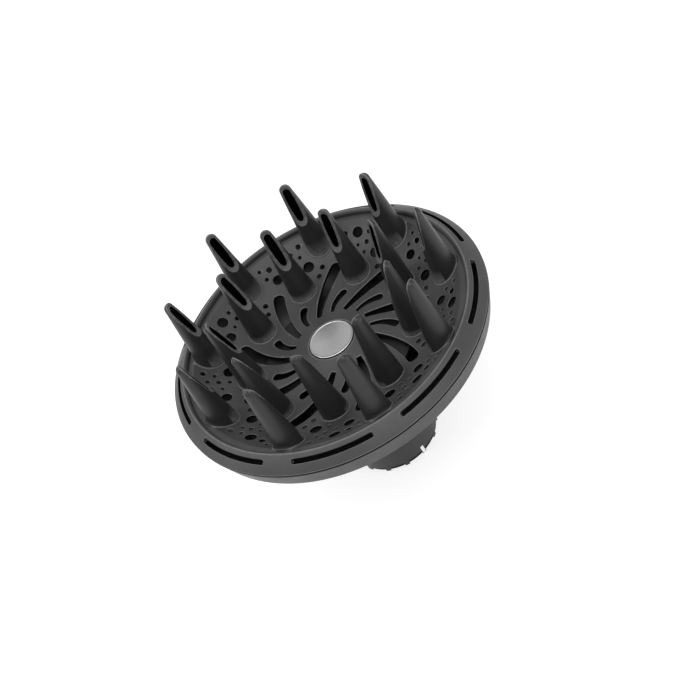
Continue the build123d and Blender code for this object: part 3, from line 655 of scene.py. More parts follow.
def bowl_profile():
    """The bowl's wall: skirt, funnel, shoulder and neck, all the way round its section."""
    upper = rounded([
        (*INNER_FLOOR, 0), (SKIRT_INNER_RADIUS, RIM_Z - HOOK_DEPTH, 0.3),
        (SKIRT_INNER_RADIUS, RIM_Z - GROOVE, 0.2), (RIM_RADIUS, RIM_Z - GROOVE, 0.25),
        (SKIRT_RADIUS, SKIRT_Z + SKIRT_CHAMFER, 0.3), (SKIRT_RADIUS - SKIRT_CHAMFER, SKIRT_Z, 0.3),
    ])
    foot = (SHOULDER_RADIUS, SHOULDER_Z + FUNNEL_FOOT)
    bend = (SHOULDER_RADIUS, FUNNEL_FOOT_Z)
    flank = bezier([OUTER_FLOOR, (FUNNEL_RADIUS, FUNNEL_Z), bend, foot], 26)
    throat = (NECK_BORE_RADIUS, THROAT_Z)
    neck = rounded([
        (*foot, 0), (SHOULDER_RADIUS, SHOULDER_Z, 0.4), (NECK_RADIUS, SHOULDER_Z, 0.2),
        (NECK_RADIUS, SNAP_GROOVE_TOP_Z, 0), (SNAP_GROOVE_RADIUS, SNAP_GROOVE_TOP_Z, 0),
        (SNAP_GROOVE_RADIUS, SNAP_GROOVE_LOW_Z, 0), (NECK_RADIUS, SNAP_GROOVE_LOW_Z, 0),
        (NECK_RADIUS, NECK_END_Z, 0.4), (NECK_BORE_RADIUS, NECK_END_Z, 0.4), (*throat, 0),
    ])
    flare = (NECK_BORE_RADIUS + 2, FUNNEL_Z + FUNNEL_WALL)
    inside = bezier([throat, flare, (FUNNEL_RADIUS - 1, FUNNEL_Z + 2 * FUNNEL_WALL), INNER_FLOOR], 26)
    return [*upper, OUTER_FLOOR, *flank, *neck, *inside]


def stepped_angles(count, breaks, gap=0.25):
    """Even angles and a close pair of angles at each break, where a step will stand."""
    pairs = [turn % 360 for value in breaks for turn in (value - gap, value + gap)]
    even = [
        turn for turn in even_angles(count)
        if all(abs((turn - pair + 180) % 360 - 180) > 2 * gap for pair in pairs)
    ]
    return np.array(sorted(even + pairs))


def within(angles, start, end):
    """Which of the angles lie between two angles."""
    return (np.asarray(angles) - start) % 360 <= (end - start) % 360


def rear_bowl_mesh():
    """The bowl, with the stop lug that hangs from its shoulder at the back."""
    lug_start = STOP_ANGLE - STOP_LUG_ANGLE / 2
    lug_end = STOP_ANGLE + STOP_LUG_ANGLE / 2
    angles = stepped_angles(240, [lug_start, lug_end])
    in_lug = within(angles, lug_start, lug_end)
    loops = turned(bowl_profile(), angles)
    for loop in loops:
        on_shoulder = (np.abs(loop[:, 2] - SHOULDER_Z) < 0.25) & (radii_of(loop) > NECK_RADIUS - 0.1)
        loop[on_shoulder & in_lug, 2] -= STOP_HEIGHT
    return closed_section("rear_bowl_shell", loops)


# --- fingers ---
LIP_EDGE = 0.38
COLUMNS = 48
CUT_DEPTH = 8.0                  # from the cut's top to a place between both faces' ends
CUT_SPACING = 0.5


class Cone:
    """One face of a finger: a cone whose end is a round tip."""

    def __init__(self, low, low_radius, tip_radius, top):
        """low and top are heights, and low_radius is the cone's radius at the lower one."""
        self.tip = tip_radius
        self.shoulder = top - tip_radius
        self.taper = math.atan((low_radius - tip_radius) / (self.shoulder - low))

    def radius(self, z):
        """Radius at this height."""
        straight = self.tip + (self.shoulder - z) * math.tan(self.taper)
        dome = np.sqrt(np.maximum(self.tip**2 - (z - self.shoulder) ** 2, 0))
        return np.where(z > self.shoulder, dome, straight)

    def reach(self, z):
        """Distance from the pole along the face down to this height."""
        arc = self.tip * np.arccos(np.clip((z - self.shoulder) / self.tip, -1, 1))
        slope = self.tip * math.pi / 2 + (self.shoulder - z) / math.cos(self.taper)
        return np.where(z > self.shoulder, arc, slope)

    def height(self, reach):
        """Height at this distance from the pole."""
        quarter = self.tip * math.pi / 2
        dome = self.shoulder + self.tip * np.cos(np.minimum(reach, quarter) / self.tip)
        return np.where(reach < quarter, dome, self.shoulder - (reach - quarter) * math.cos(self.taper))

    def normal(self, point):
        """Unit vector out of the face."""
        if point[2] > self.shoulder:
            return (np.array(point) - [0, 0, self.shoulder]) / self.tip
        turn = math.atan2(point[1], point[0])
        level = math.cos(self.taper)
        return np.array([math.cos(turn) * level, math.sin(turn) * level, math.sin(self.taper)])

    def flatten(self, points):
        """Map of the face round its pole."""
        points = np.asarray(points)
        turn = np.arctan2(points[:, 1], points[:, 0])
        return circle_points(self.reach(points[:, 2]), turn)

    def lift(self, flat):
        """Points of the face for places on its map."""
        turn = np.arctan2(flat[:, 1], flat[:, 0])
        z = self.height(radii_of(flat))
        return raised(circle_points(self.radius(z), turn), z)


OUTER_FACE = Cone(0.0, FINGER_BASE_RADIUS, FINGER_TIP_RADIUS, FINGER_LENGTH)


class Scoop:
    """The scoop's cut: a flat face that curves out at its low end, told by length along it."""

    def __init__(self):
        low_z = FINGER_LENGTH - SCOOP_LENGTH
        low = (-float(OUTER_FACE.radius(low_z)), low_z)
        control = (SCOOP_CONTROL_X, FINGER_LENGTH - SCOOP_CONTROL_LENGTH)
        bend = (SCOOP_BEND_X, FINGER_LENGTH - SCOOP_BEND_LENGTH)
        top = (SCOOP_TIP_OFFSET, FINGER_LENGTH)
        line = np.array([low, *bezier([low, control, bend], 40), bend, top])
        self.x, self.z = line[:, 0], line[:, 1]
        self.length = np.concatenate([[0], np.cumsum(np.hypot(np.diff(self.x), np.diff(self.z)))])

    def at(self, along):
        """x and z at a length along the cut."""
        return np.interp(along, self.length, self.x), np.interp(along, self.length, self.z)

    def up(self, along):
        """Unit vector up along the cut."""
        near = np.clip(along, 0.1, self.length[-1] - 0.1)
        (x0, z0), (x1, z1) = self.at(near - 0.1), self.at(near + 0.1)
        step = np.array([x1 - x0, 0, z1 - z0], float)
        return step / np.linalg.norm(step)

    def lift(self, flat):
        """Points of the cut for places given as length along it and y."""
        x, z = self.at(flat[:, 0])
        return np.stack([x, flat[:, 1], z], axis=1)


SCOOP = Scoop()


def crossing(cone, inside, outside):
    """Length along the cut, between the two, where a face meets the cut's middle line."""
    for _ in range(50):
        middle = (inside + outside) / 2
        x, z = SCOOP.at(middle)
        if cone.radius(z) > abs(x):
            inside = middle
        else:
            outside = middle
    return inside


def cut_outline(cone, count=40):
    """Places along the closed line where the cut meets a face: length along the cut, and y."""
    middle = SCOOP.length[-1] - CUT_DEPTH
    low = crossing(cone, middle, 0)
    high = crossing(cone, middle, SCOOP.length[-1])
    along = low + (high - low) * (1 - np.cos(np.linspace(0, math.pi, count))) / 2
    x, z = SCOOP.at(along)
    across = np.sqrt(np.maximum(cone.radius(z) ** 2 - x**2, 0))
    across[[0, -1]] = 0
    one_side = np.stack([along, across], axis=1)
    return np.concatenate([one_side, (one_side * [1, -1])[-2:0:-1]])


def lip_loops(cone, side):
    """Loops that round the edge between a face and the cut, and the last loop's places on the cut.

    side is 1 on the finger's outer face and -1 on its inner one.
    """
    places = cut_outline(cone)
    corners = SCOOP.lift(places)
    loops = [[], [], [], []]
    ends = []
    for place, corner in zip(places, corners):
        up = SCOOP.up(place[0])
        cut_out = np.array([-up[2], 0, up[0]])
        face_out = side * cone.normal(corner)
        cosine = float(face_out @ cut_out)
        cut = min(LIP_EDGE, LIP_EDGE * math.tan(math.acos(max(-1.0, min(1.0, cosine))) / 2))
        along_face = cut_out - cosine * face_out
        along_cut = face_out - cosine * cut_out
        along_cut /= np.linalg.norm(along_cut)
        start = corner - cut * along_face / np.linalg.norm(along_face)
        end_place = place - cut * np.array([along_cut @ up, along_cut[1]])
        end = SCOOP.lift(end_place[None])[0]
        ends.append(end_place)
        for loop, point in zip(loops, corner_curve(start, corner, end, 3)):
            loop.append(point)
    return [np.array(loop) for loop in loops], np.array(ends)


def foot_points(radius, matrix):
    """A ring round the finger that lies on its pad."""
    points = raised(ring(radius, COLUMNS), 0.0)
    for _ in range(4):
        world = points @ matrix[:3, :3].T + matrix[:3, 3]
        points[:, 2] += pad_z(world[:, :2]) - world[:, 2]
    return points


def finger_matrix(ring_radius, base_z, lean, turn):
    """Where a finger stands, in millimetres: its scoop faces the dish's axis."""
    foot = Matrix.Translation((ring_radius, 0, base_z)) @ Matrix.Rotation(math.radians(lean), 4, "Y")
    return Matrix.Rotation(math.radians(turn), 4, "Z") @ foot


def face_grid(cone, low, spacing):
    """Places on a face's map: rings over its tip and down to a lowest height."""
    tip = np.linspace(0.25, cone.tip * math.pi / 2, 7)
    side = np.arange(cone.tip * 1.6 + spacing, float(cone.reach(low)), spacing)
    return [place for reach in [*tip, *side] for place in ring(reach, COLUMNS)]


def finger_mesh(name, ring_radius, base_z, lean, foot_height):
    """A hollow finger in its own frame: cone, round tip, slanted scoop with a rounded lip, spigot."""
    matrix = np.array(finger_matrix(ring_radius, base_z, lean, 0))
    outer = OUTER_FACE
    cavity_radius = float(outer.radius(foot_height)) - FINGER_WALL
    cavity_top = FINGER_LENGTH - TIP_WALL
    inner = Cone(foot_height, cavity_radius, FINGER_TIP_RADIUS - FINGER_WALL, cavity_top)
    shell = Shell()
    outer_lip, outer_places = lip_loops(outer, 1)
    inner_lip, inner_places = lip_loops(inner, -1)
    outer_ends = shell.add_chain(outer_lip)
    inner_ends = shell.add_chain(inner_lip)

    foot = foot_points(FINGER_BASE_RADIUS, matrix)
    foot_radii = outer.radius(foot[:, 2] + 0.25)
    foot[:, :2] *= (foot_radii / FINGER_BASE_RADIUS)[:, None]
    tuck = foot_points(FINGER_BASE_RADIUS - 0.45, matrix)
    neck = foot_points(SPIGOT_RADIUS, matrix)
    cavity = raised(ring(float(inner.radius(foot_height)), COLUMNS), foot_height)
    chain = [foot + [0, 0, 0.25], tuck, neck]
    for radius, z in [
        (SPIGOT_RADIUS, 0.2 - SPIGOT_LENGTH), (SPIGOT_RADIUS - 0.2, -SPIGOT_LENGTH),
        (SPIGOT_BORE_RADIUS + 0.2, -SPIGOT_LENGTH), (SPIGOT_BORE_RADIUS, 0.2 - SPIGOT_LENGTH),
        (SPIGOT_BORE_RADIUS, foot_height - 0.2), (SPIGOT_BORE_RADIUS + 0.2, foot_height),
    ]:
        chain.append(raised(ring(radius, COLUMNS), z))
    chain.append(cavity)
    bottom, floor = shell.add_chain(chain)

    outer_map = outer.flatten(chain[0])
    shell.add_sheet(
        [(bottom, outer_map), (outer_ends[0], outer.flatten(outer_lip[0]))],
        face_grid(outer, float(np.max(chain[0][:, 2])) + 0.3, 1.5), outer.lift, 0.25,
    )
    # The cavity's face is painted dark: painted shade.
    shell.add_sheet(
        [(floor, inner.flatten(cavity)), (inner_ends[0], inner.flatten(inner_lip[0]))],
        face_grid(inner, foot_height + 0.5, 1.8), inner.lift, 0.25, shell.inside,
    )
    across = np.arange(-3.5, 3.6, CUT_SPACING)
    cut_grid = [np.array([along, y]) for along in np.arange(0.4, 7, CUT_SPACING) for y in across]
    # The cut face takes a painted highlight.
    shell.add_sheet(
        [(outer_ends[1], outer_places), (inner_ends[1], inner_places)], cut_grid, SCOOP.lift, 0.2,
        shell.lit_cut_points,
    )
    return shell.mesh(name)


# --- badge ---
def badge_mesh():
    """A plain disc with a rounded rim and a slightly sunk brushed face."""
    low = BADGE_TOP_Z - BADGE_THICKNESS
    face_z = BADGE_TOP_Z - BADGE_SINK
    profile = [(BADGE_RADIUS - 0.2, low), (BADGE_RADIUS, low + 0.2)]
    for bend in np.radians(np.linspace(0, 90, 6)):
        out = BADGE_RADIUS - BADGE_ROUNDING * (1 - math.cos(bend))
        profile.append((out, BADGE_TOP_Z - BADGE_ROUNDING * (1 - math.sin(bend))))
    profile += [(BADGE_RADIUS - 0.75, BADGE_TOP_Z - 0.01)]
    profile += [(BADGE_RADIUS - 0.9, face_z), (BADGE_RADIUS - 1.05, face_z)]
    for radius in (9, 7, 5, 3, 1):
        profile.append((radius, face_z + BADGE_DOME * (1 - (radius / BADGE_RADIUS) ** 2)))
    shell = Shell()
    first, last = shell.add_chain(turned(profile, even_angles(128)))
    shell.add_cap(last, (0, 0, face_z + BADGE_DOME))
    shell.add_cap(first, (0, 0, low))
    return shell.mesh("badge_disc")


# --- lock collar ---
COLLAR_BORE_RADIUS = 20.5
COLLAR_BORE_LENGTH = 19.0
COLLAR_RUN_RADIUS = 21.0
COLLAR_TURN = 30.0
WINDOW_COUNT = 14
WINDOW_HEIGHT = 2.4
WINDOW_DEPTH = 0.7
WINDOW_RIB_ANGLE = 6.2
MARK_ANGLE = -72.0
MARK_WIDTH = 1.8
MARK_LENGTH = 5.0                # from the collar's mouth to the mark's far end
MARK_PROUD = 0.04
MARK_DEPTH = 0.3
MARK_LOW_Z = 0.25
BAND_INNER_RADIUS = 22.2
BAND_LIFT = 0.3
BAND_RIB_SPACING = 4             # columns of points from one rib's groove to the next
BAND_RIB_SHARE = 0.004           # a groove's depth as a share of the radius
SNAP_RING_RADIUS = 21.8
SNAP_RING_LOW_Z = 25.3
SNAP_RING_TOP_Z = 26.3
BAYONET_ANGLES = (90.0, 270.0)
BAYONET_WIDTH_ANGLE = 13.0
BAYONET_TURN = 20.0
BAYONET_DEPTH = 1.0
BAYONET_Z = 9.0
BAYONET_HEIGHT = 3.0


def collar_mesh():
    """The collar: grip windows at its end, key grooves in its bore and the stop's notch behind."""
    window_pitch = 360 / WINDOW_COUNT
    first_window = MARK_ANGLE + WINDOW_RIB_ANGLE / 2
    window_starts = [first_window + window_pitch * k for k in range(WINDOW_COUNT)]
    windows = [(start, start + window_pitch - WINDOW_RIB_ANGLE) for start in window_starts]
    half_notch = STOP_LUG_ANGLE / 2 + STOP_CLEARANCE_ANGLE
    notch = (STOP_ANGLE - half_notch - COLLAR_TURN, STOP_ANGLE + half_notch)
    entries = [(start, start + BAYONET_WIDTH_ANGLE) for start in BAYONET_ANGLES]
    runs = [(start, start + BAYONET_WIDTH_ANGLE + BAYONET_TURN) for start in BAYONET_ANGLES]
    breaks = [angle for span in [*windows, notch, *entries, *runs] for angle in span]
    angles = stepped_angles(240, sorted(set(breaks)))
    in_window = np.any([within(angles, *span) for span in windows], axis=0)
    in_notch = within(angles, *notch)
    in_entry = np.any([within(angles, *span) for span in entries], axis=0)
    in_run = np.any([within(angles, *span) for span in runs], axis=0)

    band_outer = COLLAR_RADIUS - WINDOW_DEPTH
    groove_top = WINDOW_HEIGHT + BAND_LIFT
    run_top = BAYONET_Z + BAYONET_HEIGHT
    notch_z = COLLAR_TOP_Z - STOP_HEIGHT - 0.5
    outside = rounded([
        (COLLAR_BORE_RADIUS, 0, 0.4), (BAND_INNER_RADIUS, 0, 0.15), (BAND_INNER_RADIUS, groove_top, 0),
        (band_outer, groove_top, 0), (band_outer, 0, 0.12), (COLLAR_RADIUS, 0, 0.25),
        (COLLAR_RADIUS, WINDOW_HEIGHT - 0.2, 0), (COLLAR_RADIUS, WINDOW_HEIGHT + 0.2, 0),
        (COLLAR_RADIUS, 12, 0), (COLLAR_RADIUS, 22, 0), (COLLAR_RADIUS, notch_z, 0),
        (COLLAR_RADIUS, COLLAR_TOP_Z, 0.35), (COLLAR_RUN_RADIUS, COLLAR_TOP_Z, 0.2),
        (COLLAR_RUN_RADIUS, notch_z, 0), (COLLAR_RUN_RADIUS, SNAP_RING_TOP_Z + 0.05, 0),
        (SNAP_RING_RADIUS, SNAP_RING_TOP_Z, 0), (SNAP_RING_RADIUS, SNAP_RING_LOW_Z, 0),
        (COLLAR_RUN_RADIUS, SNAP_RING_LOW_Z - 0.05, 0), (COLLAR_RUN_RADIUS, COLLAR_BORE_LENGTH, 0),
        (COLLAR_BORE_RADIUS, COLLAR_BORE_LENGTH, 0.2), (COLLAR_BORE_RADIUS, run_top + 0.15, 0),
        (COLLAR_BORE_RADIUS, run_top - 0.15, 0), (COLLAR_BORE_RADIUS, BAYONET_Z + 0.15, 0),
        (COLLAR_BORE_RADIUS, BAYONET_Z - 0.15, 0), (COLLAR_BORE_RADIUS, 0.6, 0),
    ])
    loops = turned(outside, angles)
    for loop, (radius, z) in zip(loops, outside):
        scale = np.ones(len(angles))
        if radius > band_outer - 0.01 and z < WINDOW_HEIGHT:
            loop[in_window, 2] = WINDOW_HEIGHT - 0.2 * (radius < band_outer + 0.2) * (z < 0.1)
        if z > notch_z + 0.1:
            loop[in_notch, 2] -= STOP_HEIGHT
        if radius < COLLAR_BORE_RADIUS + 0.45 and z < run_top:
            cut = in_entry if z < BAYONET_Z else in_run
            scale[cut] = (COLLAR_BORE_RADIUS + BAYONET_DEPTH) / radius
        loop[:, :2] *= scale[:, None]
    return closed_section("collar_shell", loops)


def mark_mesh():
    """The index mark: a thin curved bar let into the collar's wall and just proud of it."""
    half = math.degrees(MARK_WIDTH / 2 / COLLAR_RADIUS)
    turns = np.linspace(-half, half, 7)
    shell = Shell()
    loops = []
    for proud, inset in [(-MARK_DEPTH, 0), (-MARK_PROUD / 2, 0), (MARK_PROUD, 2 * MARK_PROUD)]:
        low, high = MARK_LOW_Z + inset, MARK_LENGTH - inset
        radius = COLLAR_RADIUS + proud
        squeeze = 1 - inset / (MARK_WIDTH / 2)
        row = [polar(radius, MARK_ANGLE + turn * squeeze) for turn in turns]
        loops.append([(*p, low) for p in row] + [(*p, high) for p in row[::-1]])
    first, last = shell.add_chain(loops)
    for loop in (first, last):
        for k in range(len(turns) - 1):
            shell.faces.append((loop[k], loop[k + 1], loop[-k - 2], loop[-k - 1]))
    return shell.mesh("mark_bar")


def grip_band_mesh():
    """The rubber band that shows in the collar's windows, with fine ribs along its axis; its near-black
    colour is painted shade on the windows' floors.
    """
    outer = COLLAR_RADIUS - WINDOW_DEPTH
    profile = rounded([
        (BAND_INNER_RADIUS, BAND_LIFT, 0.1), (outer, BAND_LIFT, 0.12),
        (outer, WINDOW_HEIGHT + BAND_LIFT, 0.12), (BAND_INNER_RADIUS, WINDOW_HEIGHT + BAND_LIFT, 0.1),
    ])
    angles = even_angles(720)
    groove = 1 - BAND_RIB_SHARE * (np.arange(len(angles)) % BAND_RIB_SPACING == 0)
    loops = turned(profile, angles)
    for loop, (radius, _) in zip(loops, profile):
        if radius > outer - 0.2:
            loop[:, :2] *= groove[:, None]
    return closed_section("grip_band_ring", loops)


# --- air spreader ---
SPREADER_RADIUS = 38.0
SPREADER_WALL = 1.6
SPREADER_HUB_RADIUS = 14.0
SPREADER_RIM_Z = 70.55
NOSE_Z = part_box("air_spreader")[0].z / MM
NOSE_FLAT_RADIUS = 1.5
NOSE_OUTER_BEND = (12.0, NOSE_Z + 8)   # control points of the nose's curves
NOSE_INNER_BEND = (7.0, NOSE_Z + 10)
FLANK_BEND = (20.0, SPREADER_RIM_Z - 4)
CLIP_POCKET_RADIUS = 5.0
VANE_TOP_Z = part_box("air_spreader")[1].z / MM
VANE_EDGE = 0.15


def spreader_mesh():
    """The hollow cone under the plate that turns the air outwards, with nine guide vanes."""
    inner_hub = SPREADER_HUB_RADIUS - SPREADER_WALL
    under_floor = BOSS_Z - SPREADER_WALL
    rim_low = (SPREADER_RADIUS, SPREADER_RIM_Z - SPREADER_WALL)
    nose = (NOSE_FLAT_RADIUS, NOSE_Z)
    inner_nose = (NOSE_FLAT_RADIUS, NOSE_Z + SPREADER_WALL)
    profile = rounded([
        (CLIP_POCKET_RADIUS, BOSS_Z, 0), (SPREADER_HUB_RADIUS, BOSS_Z, 0.2),
        (SPREADER_RADIUS, SPREADER_RIM_Z, 0.3), (*rim_low, 0.3),
    ])
    profile += [*bezier([rim_low, FLANK_BEND, NOSE_OUTER_BEND, nose], 20), nose]
    inside = [
        (CLIP_POCKET_RADIUS, under_floor), (inner_hub, under_floor),
        *bezier([(inner_hub, under_floor), NOSE_INNER_BEND, inner_nose], 10), inner_nose,
    ]
    angles = even_angles(120)
    shell = Shell()
    first, outer_end = shell.add_chain(turned(profile, angles))
    pocket, inner_end = shell.add_chain(turned(inside, angles))
    shell.add_strips([first, pocket])
    shell.add_cap(outer_end, (0, 0, NOSE_Z))
    shell.add_cap(inner_end, (0, 0, NOSE_Z + SPREADER_WALL))
    for turn in OUTER_ANGLES:
        outline = swirl_outline(VANE, turn, count=12, corner=0.2)
        top = outline - outward(outline) * VANE_EDGE
        low, high = shell.add_chain([
            raised(outline, SPREADER_RIM_Z - 0.5), raised(outline, VANE_TOP_Z - VANE_EDGE),
            raised(top, VANE_TOP_Z),
        ])
        shell.add_sheet([(low, outline)])
        shell.add_sheet([(high, top)])
    return shell.mesh("spreader_shell")


# --- materials ---
def add_node(material, kind, **inputs):
    """A node with these input values; names with underscores stand for names with spaces."""
    node = material.node_tree.nodes.new(kind)
    for name, value in inputs.items():
        node.inputs[name.replace("_", " ")].default_value = value
    return node


def link(material, source, target):
    """Joins an output socket to an input socket."""
    material.node_tree.links.new(source, target)


def shader_inputs(material):
    """The sockets of a material's surface shader."""
    return material.node_tree.nodes["Principled BSDF"].inputs


def remap(material, source, low, high):
    """A socket that maps a noise value onto the range from low to high."""
    node = add_node(material, "ShaderNodeMapRange", From_Min=0.3, From_Max=0.7, To_Min=low, To_Max=high)
    link(material, source, node.inputs["Value"])
    return node.outputs["Result"]


def noise(material, scale, detail=3.0, stretch=None):
    """A noise value over the object, scale in features for each metre."""
    coordinates = add_node(material, "ShaderNodeTexCoord").outputs["Object"]
    if stretch is not None:
        mapping = add_node(material, "ShaderNodeMapping", Scale=stretch)
        link(material, coordinates, mapping.inputs["Vector"])
        coordinates = mapping.outputs["Vector"]
    node = add_node(material, "ShaderNodeTexNoise", Scale=scale, Detail=detail, Roughness=0.55)
    link(material, coordinates, node.inputs["Vector"])
    return node.outputs["Fac"]


def colour_between(material, share, dark, light):
    """A colour that goes from dark to light with a share from 0 to 1."""
    ramp = add_node(material, "ShaderNodeValToRGB")
    ramp.color_ramp.elements[0].color = (*dark, 1)
    ramp.color_ramp.elements[1].color = (*light, 1)
    link(material, share, ramp.inputs["Fac"])
    return ramp.outputs["Color"]


def attribute(material, name):
    """A value that the meshes carry at each point."""
    node = add_node(material, "ShaderNodeAttribute")
    node.attribute_name = name
    return node.outputs["Fac"]


def mixed(material, share, colour, other):
    """The colour where the share is 0, and the other one where it is 1."""
    mix = add_node(material, "ShaderNodeMix")
    mix.data_type = "RGBA"
    link(material, share, mix.inputs["Factor"])
    link(material, colour, mix.inputs["A"])
    mix.inputs["B"].default_value = (*other, 1)
    return mix.outputs["Result"]


def scaled(material, value, factor, added=0.0):
    """The value times a factor, which may be a socket, plus a number."""
    node = add_node(material, "ShaderNodeMath")
    node.operation = "MULTIPLY_ADD"
    link(material, value, node.inputs[0])
    if isinstance(factor, float):
        node.inputs[1].default_value = factor
    else:
        link(material, factor, node.inputs[1])
    node.inputs[2].default_value = added
    return node.outputs["Value"]


def worn_lit_edges(material, colour, worn_lit_colour):
    """The colour, a little lighter along the convex edges: wear where handling has rubbed them, and a
    painted highlight.
    """
    patches = remap(material, noise(material, 400.0), 0.5, 1.0)
    return mixed(material, scaled(material, attribute(material, "wear_and_highlight"), patches), colour, worn_lit_colour)


def add_bump(material, layers):
    """Bumps one over the other; a layer is (height socket, strength, distance in metres)."""
    below = None
    for height, strength, distance in layers:
        bump = add_node(material, "ShaderNodeBump", Strength=strength, Distance=distance)
        link(material, height, bump.inputs["Height"])
        if below is not None:
            link(material, below, bump.inputs["Normal"])
        below = bump.outputs["Normal"]
    link(material, below, shader_inputs(material)["Normal"])


def new_material(name, **values):
    """A material whose shader has these values on its own sockets."""
    material = bpy.data.materials.new(name)
    material.use_nodes = True
    for socket, value in values.items():
        shader_inputs(material)[socket.replace("_", " ")].default_value = value
    return material


def link_surface(material, colour, roughness):
    """Feeds the shader's colour and roughness."""
    link(material, colour, shader_inputs(material)["Base Color"])
    link(material, roughness, shader_inputs(material)["Roughness"])


SHEEN = 0.35          # specular level of the plastic's outer faces
PAINTED_SHADE_SHARE = 0.15   # painted shade: how light and glossy openings are inside, beside the outer faces


def moulded_plastic(name, dark, light, worn_lit_colour, roughness, grain_scale, grain_depth):
    """Moulded plastic: spark-eroded grain, slow changes of tone and gloss, edges lighter from wear and
    a painted highlight, painted shade inside openings.
    """
    material = new_material(name)
    tone = colour_between(material, remap(material, noise(material, 60.0), 0.0, 1.0), dark, light)
    gloss = remap(material, noise(material, 140.0, 2.0), roughness - 0.05, roughness + 0.05)
    # Painted shade inside openings: a darker colour and a weaker specular level.
    inside = attribute(material, "inside")
    tone = mixed(material, inside, tone, [share * PAINTED_SHADE_SHARE for share in dark])
    sheen = scaled(material, inside, (PAINTED_SHADE_SHARE - 1) * SHEEN, SHEEN)
    link(material, sheen, shader_inputs(material)["Specular IOR Level"])
    link_surface(material, worn_lit_edges(material, tone, worn_lit_colour), gloss)
    grain = noise(material, grain_scale, 2.0)
    flow = noise(material, 90.0, 1.0)
    add_bump(material, [(flow, 0.15, 0.0002), (grain, 0.6, grain_depth)])
    return material


def even_material(name, pattern, dark, light, gloss, bump, **values):
    """Metal, rubber or paint whose tone, gloss and bump follow one noise.

    pattern is the noise's scale, detail and stretch, and bump its strength and distance.
    """
    material = new_material(name, **values)
    spots = noise(material, *pattern)
    tone = colour_between(material, remap(material, spots, 0.0, 1.0), dark, light)
    link_surface(material, tone, remap(material, spots, *gloss))
    add_bump(material, [(spots, *bump)])
    return material


def grey(level, blue=1.0):
    """A grey, with its blue a little stronger or weaker."""
    return (level, level, level * blue)


# Each plastic's third colour is the lighter one of its convex edges: edge wear and a painted highlight.
shell_plastic = moulded_plastic(
    "shell_plastic", grey(0.032, 1.016), grey(0.042, 1.012), grey(0.13), 0.46, 2200.0, 0.00006
)
# The spreader's plastic is painted far darker than the shell's: painted shade under the plate.
inner_plastic_painted_shade = moulded_plastic(
    "inner_plastic_painted_shade", grey(0.006), grey(0.010), grey(0.02), 0.55, 2200.0, 0.00006
)
finger_plastic = moulded_plastic(
    "finger_plastic", grey(0.016, 1.0125), grey(0.021, 1.01), grey(0.15), 0.40, 3600.0, 0.00002
)
collar_plastic = moulded_plastic(
    "collar_plastic", grey(0.022, 1.023), grey(0.030, 1.017), grey(0.08), 0.44, 2400.0, 0.00005
)
# Satin aluminium: the stretched noise makes straight, very fine brush lines.
aluminium = even_material(
    "badge_aluminium", (900.0, 3.0, (1.0, 26.0, 1.0)), grey(0.40), grey(0.54), (0.26, 0.38),
    (0.12, 0.00002), Metallic=1.0, Anisotropic=0.3,
)
steel = even_material(
    "plated_steel", (1500.0, 4.0), (0.42, 0.43, 0.45), (0.60, 0.61, 0.63), (0.30, 0.45),
    (0.2, 0.00002), Metallic=1.0,
)
# Near black with a faint specular: painted shade on the floors of the collar's windows.
window_shade_rubber = even_material(
    "band_rubber_painted_shade", (3000.0, 2.0), grey(0.003, 1.03), grey(0.006, 1.03), (0.75, 0.9),
    (0.4, 0.00003), Specular_IOR_Level=0.05,
)
white = even_material(
    "mark_white", (700.0, 3.0), grey(0.74, 0.986), grey(0.86, 0.988), (0.35, 0.5), (0.15, 0.00002)
)


# --- pieces ---
def place_fingers():
    """Both rings of fingers, each a piece of its own."""
    rings = {
        "outer_finger": (OUTER_RING_RADIUS, OUTER_FINGER_BASE_Z, 0.0, OUTER_FOOT_HEIGHT, OUTER_ANGLES),
        "inner_finger": (
            INNER_RING_RADIUS, INNER_FINGER_BASE_Z, INNER_LEAN, INNER_FOOT_HEIGHT, INNER_ANGLES
        ),
    }
    for label, (ring_radius, base_z, lean, foot_height, turns) in rings.items():
        mesh = finger_mesh(f"{label}_shell", ring_radius, base_z, lean, foot_height)
        for number, turn in enumerate(turns, start=1):
            matrix = finger_matrix(ring_radius, base_z, lean, turn)
            matrix.translation *= MM
            place_piece(
                f"{label}.looks_{number}", mesh, finger_plastic, "diffuser",
                f"{label}_{number}", matrix,
            )


# What stands for each CAD node of the same name: mesh, material, body, slot, smoothing angle.
PIECES = {
    "face_plate": (face_plate_mesh, shell_plastic, "diffuser", "shell_plastic", 50),
    "bezel_ring": (bezel_mesh, shell_plastic, "diffuser", "shell_plastic", 50),
    "rear_bowl": (rear_bowl_mesh, shell_plastic, "diffuser", "shell_plastic", 50),
    "air_spreader": (spreader_mesh, inner_plastic_painted_shade, "diffuser", "shell_plastic", 50),
    "badge": (badge_mesh, aluminium, "diffuser", "badge_metal", 50),
    "lock_collar": (collar_mesh, collar_plastic, "collar", "collar_plastic", 35),
    "index_mark": (mark_mesh, white, "collar", "mark_paint", 50),
    "grip_band": (grip_band_mesh, window_shade_rubber, "collar", "black_rubber", 50),
}
for piece_node, (make_mesh, piece_material, piece_body, slot, smooth_angle) in PIECES.items():
    place_piece(
        f"{piece_node}.looks", make_mesh(), piece_material, piece_body, piece_node,
        smooth_angle=smooth_angle,
    )
place_fingers()

for node_name in ("badge_clip", "spreader_screws", "collar_snap_ring"):
    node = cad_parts[node_name]
    node.data.materials.clear()
    node.data.materials.append(steel)


# --- floor, light and camera, in metres ---
FLOOR_REACH = 40.0
FLOOR_Z = -0.0005


